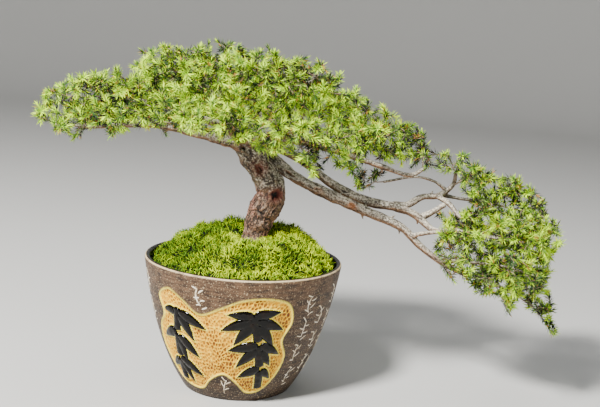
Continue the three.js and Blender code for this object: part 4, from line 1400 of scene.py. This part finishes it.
def one_sided(points, foliage, reach):
    """How far to one side the foliage round each point lies: 0 deep inside it and 1 outside."""
    share = np.ones(len(points))
    for i, point in enumerate(points):
        away = foliage - point
        span = np.linalg.norm(away, axis=1)
        near = (span < reach) & (span > 0.01)
        if near.any():
            share[i] = np.linalg.norm((away[near] / span[near, None]).mean(axis=0))
    return share


def pad_share(points):
    """How full the foliage is round each point: it grows in pads, with hollows between them where the
    shoots take painted shade.
    """
    return noise_at(points, 19, (3, 1, 7))


def outwardness(points, foliage):
    """How far out in the foliage each point lies, from 0 to 1."""
    return smoothstep(0.18, 0.52, one_sided(points, foliage, 26))


def owned(sprays, part):
    """That part of every spray in one array, with the number of the spray that each row is from."""
    counts = [len(spray[part]) for spray in sprays]
    return np.vstack([spray[part] for spray in sprays]), np.repeat(np.arange(len(sprays)), counts)


def packed_ends(sprays, spacing, draw):
    """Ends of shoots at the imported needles' points."""
    ends, owners = owned(sprays, "tips")
    order = draw.permutation(len(ends))
    order = order[in_crown(ends[order], 2)]
    order = order[apart(ends[order], spacing)]
    return ends[order], owners[order]


def side_ends(sprays, foliage, taken, spacing, draw):
    """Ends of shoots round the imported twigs, fewer deep inside the foliage and none far outside."""
    copies = 26
    ends, owners = owned(sprays, "clothed")
    ends, owners = np.tile(ends, (copies, 1)), np.tile(owners, copies)
    ends = ends + draw.normal(0, 1, ends.shape) * [9, 9, 6.5] + [0, 0, 1.5]
    order = draw.permutation(len(ends))
    order = order[in_crown(ends[order], 3.5)]
    order = order[apart(ends[order], spacing, (taken,))]
    ends, owners = ends[order], owners[order]
    share = one_sided(ends, foliage, 26)
    kept = np.where(ends[:, 0] > FAN_START, 0.95, 1.0) * np.where(share > 0.3, 1.0, 0.55)
    fits = (share < 0.74) & (draw.random(len(share)) < kept)
    return ends[fits], owners[fits]


def gap_ends(foliage, taken, spacing, draw):
    """Ends of shoots in the gaps between sprays, and of closer ones deep inside the foliage."""
    fills = draw.uniform([-205, -85, 60], [305, 95, 325], (90000, 3))
    fills = fills[in_crown(fills, 5)]
    tree = point_tree(foliage)
    gap = np.array([tree.find(point)[2] for point in fills])
    deep = fills[(gap < 12) & (fills[:, 0] < FAN_START + 5)]
    fills = fills[(gap > 10) & (gap < np.where(fills[:, 0] > FAN_START + 10, 18, 26))]
    fills = fills[apart(fills, spacing, (taken,))]
    fills = fills[one_sided(fills, foliage, 45) < np.where(fills[:, 0] > FAN_TIPS, 0.95, 0.62)]
    deep = deep[apart(deep, 0.66 * spacing, (taken, fills))]
    return fills, deep[one_sided(deep, foliage, 26) < 0.5]


def shoot_targets(sprays, settings, wood):
    """Where shoots end, evenly apart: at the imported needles, among them and in the gaps between
    sprays. With each end come the spray that it grows from and how far out in the crown it is,
    which the sprays' own twigs are given too."""
    draw = np.random.default_rng(settings.seed)
    spacing = settings.spacing / MM
    foliage = np.vstack([spray["points"] for spray in sprays])[::3]
    packed, packed_owners = packed_ends(sprays, spacing, draw)
    sides, side_owners = side_ends(sprays, foliage, packed, spacing, draw)
    ends, owners = np.vstack([packed, sides]), np.concatenate([packed_owners, side_owners])
    fills, deep = gap_ends(foliage, ends, spacing, draw)
    # Hollows open between the pads, but for the fan and the crown's back
    shown = (pad_share(ends) > -0.12) | (ends[:, 0] > FAN_START) | (ends[:, 1] > 4)
    fills = np.vstack([fills, deep])
    rings, ring_owners = owned(sprays, "rings")
    hosts = [ring_owners[np.argmin(np.linalg.norm(rings - point, axis=1))] for point in fills]
    ends, owners = np.vstack([ends[shown], fills]), np.concatenate([owners[shown], hosts])
    outer = outwardness(ends, foliage)
    # Painted shade: shoots deep inside count as far in, so their needles come out nearly black and
    # darken the see-through gaps
    outer[len(ends) - len(deep):] *= 0.2
    outer = np.maximum(outer, 0.6 * smoothstep(FAN_START, 190, ends[:, 0]))
    for spray in sprays:
        spray["outer"] = outwardness(spray["rings"], foliage)
    clear = np.array([wood.find_nearest(Vector(point))[3] > 4 for point in ends])
    return ends[clear], owners[clear].astype(int), outer[clear]


def bent_shoot(start, way, end, final, steps):
    """Points on a smooth curve between two places with the given headings."""
    span = np.linalg.norm(end - start)
    a, b = start + way * span * 0.3, end - final * span * 0.35
    t = np.array(steps)[:, None]
    return (1 - t) ** 3 * start + 3 * t * (1 - t) ** 2 * a + 3 * t ** 2 * (1 - t) * b + t ** 3 * end


def turned_to(end, middle):
    """The way a shoot turns: out and up in the crown, and straight out in the fan at the right."""
    fan = float(smoothstep(FAN_START, 205, end[0]))
    crown = 0.55 * unit(end - middle) + np.array([0, 0, 0.6])
    return (1 - fan) * crown + fan * (unit(end - FAN_HEART) + np.array([0, 0, -0.12]))


def spray_lines(spray, ends, outer, draw):
    """All the twigs and shoots of one spray as runs of points with what grows at each."""
    rings, parent, run = spray["rings"], spray["parent"], spray["run"]
    paths, size = skeleton_paths(parent)
    bare = 0.3 * run.max()
    mood = draw.uniform(-0.1, 0.1)
    lines = []
    heading = np.zeros_like(rings)
    for i, p in enumerate(parent):
        heading[i] = unit(rings[i] - rings[p]) if p >= 0 else unit(spray["points"].mean(0) - rings[i])
    for path in paths:
        clothed = smoothstep(bare, bare + 4, run[path])
        radius = np.minimum(1.25, 0.36 + 0.12 * np.sqrt(size[path]))
        sizes = clothed * np.linspace(0.6, 0.9, len(path))
        # Painted shade: the twigs' needles darken towards the spray's base and deeper in the crown
        tones = mood + np.linspace(-0.25, 0.2, len(path)) + 0.35 * spray["outer"][path]
        leans = np.linspace(1.1, 0.6, len(path))
        lines.append((rings[path], heading[path], radius, sizes, tones, leans))
    nodes, ways = [*rings], [*heading]
    stem = [r > 0.35 * bare for r in run]
    order = sorted(range(len(ends)), key=lambda i: np.linalg.norm(rings - ends[i], axis=1).min())
    middle = rings.mean(axis=0)
    for end, out in zip(ends[order], outer[order]):
        places = np.array(nodes)
        span = np.linalg.norm(places - end, axis=1) + BARE_DETOUR * ~np.array(stem)
        from_node = int(np.argmin(span))
        start = places[from_node]
        length = np.linalg.norm(start - end)
        if not SHORTEST_SHOOT < length < LONGEST_SHOOT:
            continue
        final = unit(unit(end - start) + 0.8 * turned_to(end, middle))
        leafy = min(NEEDLED_LENGTH, length)
        steps = [0] * int(length > 12) + [1 - leafy / length, 1 - 0.5 * leafy / length, 1]
        where = bent_shoot(start, ways[from_node], end, final, steps)
        tangent = unit_rows(np.gradient(where, axis=0))
        # Shoots are young outside; painted shade darkens those inside the crown and in the hollows
        # between
        #         # pads, and the crown is lighter at its left than at its right
        young = (draw.uniform(0.25, 1.2) + mood) * out - 0.5 * (1 - out)
        young += pad_share([end])[0] + np.interp(end[0], [-180, 0, 150], [0.45, 0.05, -0.08])
        radius, sizes, tones, leans = SHOOT_STATIONS[:, -len(steps):]
        sizes = sizes * draw.uniform(0.9, 1.08)
        lines.append((where, tangent, radius, sizes, young + tones, leans))
        nodes += [*where[-2:]]
        ways += [*tangent[-2:]]
        stem += [True, True]
    return lines


def line_mesh(lines):
    """Runs of points as a mesh of edges, with what the needles and twigs need at each point."""
    edges, first = [], 0
    for line in lines:
        count = len(line[0])
        edges += [(first + i, first + i + 1) for i in range(count - 1)]
        first += count
    where, growth, radius, size, tone, lean = (np.concatenate(part) for part in zip(*lines))
    mesh = bpy.data.meshes.new("shoots")
    mesh.from_pydata((where * MM).tolist(), edges, [])
    set_attribute(mesh, "growth", growth, "FLOAT_VECTOR")
    for name, values in (("twig_radius", radius * MM), ("size", size), ("tone", tone), ("lean", lean)):
        set_attribute(mesh, name, values)
    return mesh


def needle_tree():
    """Geometry Nodes: thin twigs along lines of points, with whorls of three needles all along."""
    tree, add, given = new_tree("needled_shoots", {
        "Needle": "Object", "Pitch": "Float", "Seed": "Int", "Needle Material": "Material",
        "Twig Material": "Material"})
    held = {name: add("GeometryNodeInputNamedAttribute", {"Name": name}, data_type="FLOAT",
                      take="Attribute")
            for name in ("whorl", "size", "tone", "lean", "twig_radius")}
    drawn = {}
    for name, low, high, offset in (("spin", -0.4, 0.4, 1.0), ("lean", -0.2, 0.2, 2.0),
                                    ("size", 0.78, 1.1, 3.0), ("tone", -0.5, 0.5, 4.0)):
        seed = add("ShaderNodeMath", {0: given["Seed"], 1: offset}, operation="ADD")
        drawn[name] = add("FunctionNodeRandomValue", {"Min": low, "Max": high, "Seed": seed},
                          data_type="FLOAT", take="Value")
    curves = add("GeometryNodeMeshToCurve", {"Mesh": given["Geometry"]})
    stations = add("GeometryNodeCurveToPoints", {"Curve": curves, "Length": given["Pitch"]},
                   mode="LENGTH", take="Points")
    stations = add("GeometryNodeStoreNamedAttribute", {
        "Geometry": stations, "Name": "whorl", "Value": add("GeometryNodeInputIndex")},
        data_type="FLOAT", domain="POINT")
    three = add("GeometryNodeDuplicateElements", {"Geometry": stations, "Amount": 3},
                domain="POINT", take="Geometry")
    # Each whorl is turned 60 degrees from the last, and its three needles stand 120 degrees apart
    step, spread = (
        add("ShaderNodeMath", {0: number, 1: angle}, operation="MULTIPLY")
        for number, angle in ((held["whorl"], math.pi / 3),
                              (three.node.outputs["Duplicate Index"], 2 * math.pi / 3)))
    held["spin"] = add("ShaderNodeMath", {0: step, 1: spread}, operation="ADD")
    spin, lean, size, tone = (
        add("ShaderNodeMath", {0: held[name], 1: drawn[name]}, operation=operation)
        for name, operation in (
            ("spin", "ADD"), ("lean", "ADD"), ("size", "MULTIPLY"), ("tone", "ADD")))
    clothed = add("FunctionNodeCompare", {"A": held["size"], "B": 0.3}, data_type="FLOAT",
                  operation="GREATER_THAN")
    whorls = add("GeometryNodeStoreNamedAttribute", {"Geometry": three, "Name": "tone", "Value": tone},
                 data_type="FLOAT", domain="POINT")
    needles = planted(add, given["Needle"], {
        "Points": whorls, "Selection": clothed, "Rotation": turned(add, lean, spin), "Scale": size})
    section = add("GeometryNodeCurvePrimitiveCircle", {"Resolution": 3, "Radius": 1.0}, mode="RADIUS")
    twigs = add("GeometryNodeCurveToMesh", {
        "Curve": curves, "Profile Curve": section, "Scale": held["twig_radius"], "Fill Caps": True})
    needles, twigs = (
        add("GeometryNodeSetMaterial", {"Geometry": part, "Material": given[material]})
        for part, material in ((needles, "Needle Material"), (twigs, "Twig Material")))
    whole = add("GeometryNodeJoinGeometry", {"Geometry": [needles, twigs]})
    add("NodeGroupOutput", {"Geometry": whole})
    return tree


def needle_material(settings):
    """Juniper needles: smooth waxy awls, yellow-green when young, with a pale bloom on some, and with
    painted shade at their bases.
    """
    material, add, place = new_material("juniper needles")
    along, tone = (add("ShaderNodeAttribute", attribute_name=name, take="Fac")
                   for name in ("along", "tone"))
    drift, tuft, fleck = (
        add("ShaderNodeTexNoise", {"Vector": place, "Scale": 1 / (size * MM), "Detail": detail})
        for size, detail in ((34, 2.0), (15, 1.0), (6, 1.0)))
    level = tone
    # Painted shade: each needle darkens towards its base, deep in its tuft
    for part in ((drift, 0.3, 0.7, 0.12, -0.12), (along, 0.0, 1.0, 0.3, -0.7)):
        level = add("ShaderNodeMath", {0: level, 1: masked(add, part)}, operation="ADD")
    colour = add("ShaderNodeValToRGB", {"Fac": level}, take="Color", ramp=[
        (0.0, settings.shade), (0.4, settings.grown), (0.95, settings.young)])
    colour = coated(add, colour, linear("#5aa04a"), (tuft, 0.58, 0.68, 0.35))
    colour = coated(add, colour, settings.band, (fleck, 0.56, 0.66, 0.3))
    colour = coated(add, colour, settings.dry, (fleck, 0.36, 0.31, 0.8))
    end_material(add, colour, 0.6, specular=0.25)
    return material


def twig_material(settings):
    """Young juniper twigs: smooth brown bark that is green towards the ends."""
    material, add, place = new_material("juniper twig bark")
    tone = add("ShaderNodeAttribute", attribute_name="tone", take="Fac")
    grain = add("ShaderNodeTexNoise", {"Vector": place, "Scale": 1 / (2.5 * MM), "Detail": 3.0})
    colour = coated(add, linear("#8a7260"), settings.twig, grain)
    colour = coated(add, colour, settings.grown, (tone, 0.5, 0.9))
    end_material(add, colour, 0.7, grain, 0.2 * MM)
    return material


class BONSAI_OT_needles(bpy.types.Operator):
    """Makes the needled sprays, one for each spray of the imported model"""

    bl_idname = "bonsai.needles"
    bl_label = "Needles"

    def execute(self, context):
        settings = context.scene.bonsai_needles
        corners, triangles = node_corners("trunk_and_branches")
        wood = BVHTree.FromPolygons(corners.tolist(), triangles.tolist())
        sprays = []
        for name in sorted(n for n in frame["nodes"] if n.startswith("spray_")):
            points, triangles = node_corners(name)
            sharp = needle_tips(points, triangles)
            rings = twig_rings(points[~sharp])
            root = int(np.argmin([wood.find_nearest(Vector(r))[3] for r in rings]))
            parent, run = grow_skeleton(rings, root)
            sprays.append({"name": name, "points": points, "tips": points[sharp], "rings": rings,
                           "clothed": rings[run > 0.2 * run.max()], "parent": parent, "run": run})
        ends, owners, outer = shoot_targets(sprays, settings, wood)
        length, half = settings.length / MM, settings.width / MM / 2
        needle = new_object("juniper_needle", awl_mesh(
            "juniper_needle", (0.4 * length, 0.3, half, 0.5 * half), (length, -0.2)))
        tree = needle_tree()
        looks = {"Needle Material": needle_material(settings), "Twig Material": twig_material(settings)}
        for number, spray in enumerate(sprays):
            draw = np.random.default_rng([settings.seed, number])
            lines = spray_lines(spray, ends[owners == number], outer[owners == number], draw)
            mesh = modified(line_mesh(lines), "NODES", {"node_group": tree}, {
                "Needle": needle, "Pitch": settings.pitch, "Seed": 100 * number, **looks})
            place_piece("needled_" + spray["name"], mesh, [spray["name"]])
        bpy.data.objects.remove(needle)
        return {"FINISHED"}


# Stage

def floor_mesh():
    """A wide floor whose edge curves up all round, so that no horizon shows."""
    rows = [(0.5, 0), (400, 0), (1500, 0), (3200, 0)]
    rows += [(3200 + 900 * math.sin(a), 900 - 900 * math.cos(a)) for a in np.linspace(0.2, 1.5, 9)]
    rows += [(4120, 1600), (4140, 2600)]
    sides = 96
    points = [[r * math.cos(2 * math.pi * k / sides), r * math.sin(2 * math.pi * k / sides), z]
              for r, z in rows for k in range(sides)]
    faces = [tuple(range(sides))]
    for i in range(len(rows) - 1):
        for k in range(sides):
            n = (k + 1) % sides
            faces.append((i * sides + k, (i + 1) * sides + k, (i + 1) * sides + n, i * sides + n))
    return new_mesh("floor", points, faces)


def floor_material(settings):
    """Matt painted studio floor with the faintest grain."""
    material, add, place = new_material("matt floor paint")
    grain = add("ShaderNodeTexNoise", {"Vector": place, "Scale": 1 / (60 * MM), "Detail": 3.0})
    end_material(add, settings.floor, masked(add, (grain, 0.0, 1.0, 0.95, 0.8)))
    return material


def add_light(name, place, power, size, colour):
    """A round lamp at a place in metres, aimed at the tree."""
    data = bpy.data.lights.new(name, "AREA")
    data.energy, data.color = power, colour
    data.shape, data.size = "DISK", size
    light = new_object(name, data)
    light.location = place
    light.rotation_euler = (Vector(LIGHT_AIM) - Vector(place)).to_track_quat("-Z", "Y").to_euler()


def add_camera():
    """The camera at its place, tilted down and rolled."""
    forward = Vector((0, math.cos(CAMERA_DOWN), -math.sin(CAMERA_DOWN)))
    right, up = Vector((1, 0, 0)), Vector((0, math.sin(CAMERA_DOWN), math.cos(CAMERA_DOWN)))
    x = right * math.cos(CAMERA_ROLL) + up * math.sin(CAMERA_ROLL)
    y = up * math.cos(CAMERA_ROLL) - right * math.sin(CAMERA_ROLL)
    data = bpy.data.cameras.new("camera")
    data.lens, data.sensor_width = CAMERA_LENS, 36
    data.clip_start, data.clip_end = 0.05, 50
    camera = new_object("camera", data)
    place = Matrix((x, y, -forward)).transposed().to_4x4()
    place.translation = Vector(CAMERA_PLACE) * MM
    camera.matrix_world = place
    bpy.context.scene.camera = camera


class BONSAI_OT_stage(bpy.types.Operator):
    """Sets the floor, the lights and the camera"""

    bl_idname = "bonsai.stage"
    bl_label = "Stage"

    def execute(self, context):
        settings = context.scene.bonsai_stage
        floor = new_object("studio_floor", floor_mesh())
        floor.data.materials.append(floor_material(settings))
        world = bpy.data.worlds.new("studio")
        world.use_nodes = True
        background = world.node_tree.nodes["Background"].inputs
        background["Color"].default_value = linear("#e4e7ea")
        background["Strength"].default_value = 0.2
        context.scene.world = world
        add_light("key", (-0.9, -1.3, 1.7), settings.key, 0.4, (1, 0.98, 0.94))
        add_light("fill", (1.6, -1.2, 0.9), settings.fill, 1.2, (0.93, 0.96, 1))
        add_light("top", (0.2, 0.5, 2.0), settings.fill, 1.2, (1, 1, 1))
        add_camera()
        return {"FINISHED"}


SETTINGS = {
    "bonsai_pot": PotSettings, "bonsai_moss": MossSettings, "bonsai_wood": WoodSettings,
    "bonsai_needles": NeedleSettings, "bonsai_stage": StageSettings,
}
OPERATORS = [BONSAI_OT_pot, BONSAI_OT_moss, BONSAI_OT_wood, BONSAI_OT_needles, BONSAI_OT_stage]


class BONSAI_PT_panel(bpy.types.Panel):
    """Lists the steps that build the bonsai, with their settings"""

    bl_idname = "BONSAI_PT_panel"
    bl_label = "Bonsai"
    bl_space_type = "VIEW_3D"
    bl_region_type = "UI"
    bl_category = "Bonsai"

    def draw(self, context):
        for (group, _), operator in zip(SETTINGS.items(), OPERATORS):
            box = self.layout.box()
            box.operator(operator.bl_idname)
            settings = getattr(context.scene, group)
            for name in settings.bl_rna.properties.keys():
                if name not in ("rna_type", "name"):
                    box.prop(settings, name)


def register():
    for group, kind in SETTINGS.items():
        bpy.utils.register_class(kind)
        setattr(bpy.types.Scene, group, bpy.props.PointerProperty(type=kind))
    for kind in (*OPERATORS, BONSAI_PT_panel):
        bpy.utils.register_class(kind)


def unregister():
    for kind in (BONSAI_PT_panel, *reversed(OPERATORS)):
        bpy.utils.unregister_class(kind)
    for group, kind in SETTINGS.items():
        delattr(bpy.types.Scene, group)
        bpy.utils.unregister_class(kind)


def main():
    noise.seed_set(NOISE_SEED)
    register()
    bpy.ops.bonsai.stage()
    bpy.ops.bonsai.pot()
    bpy.ops.bonsai.moss()
    bpy.ops.bonsai.wood()
    bpy.ops.bonsai.needles()


if __name__ == "__main__":
    main()
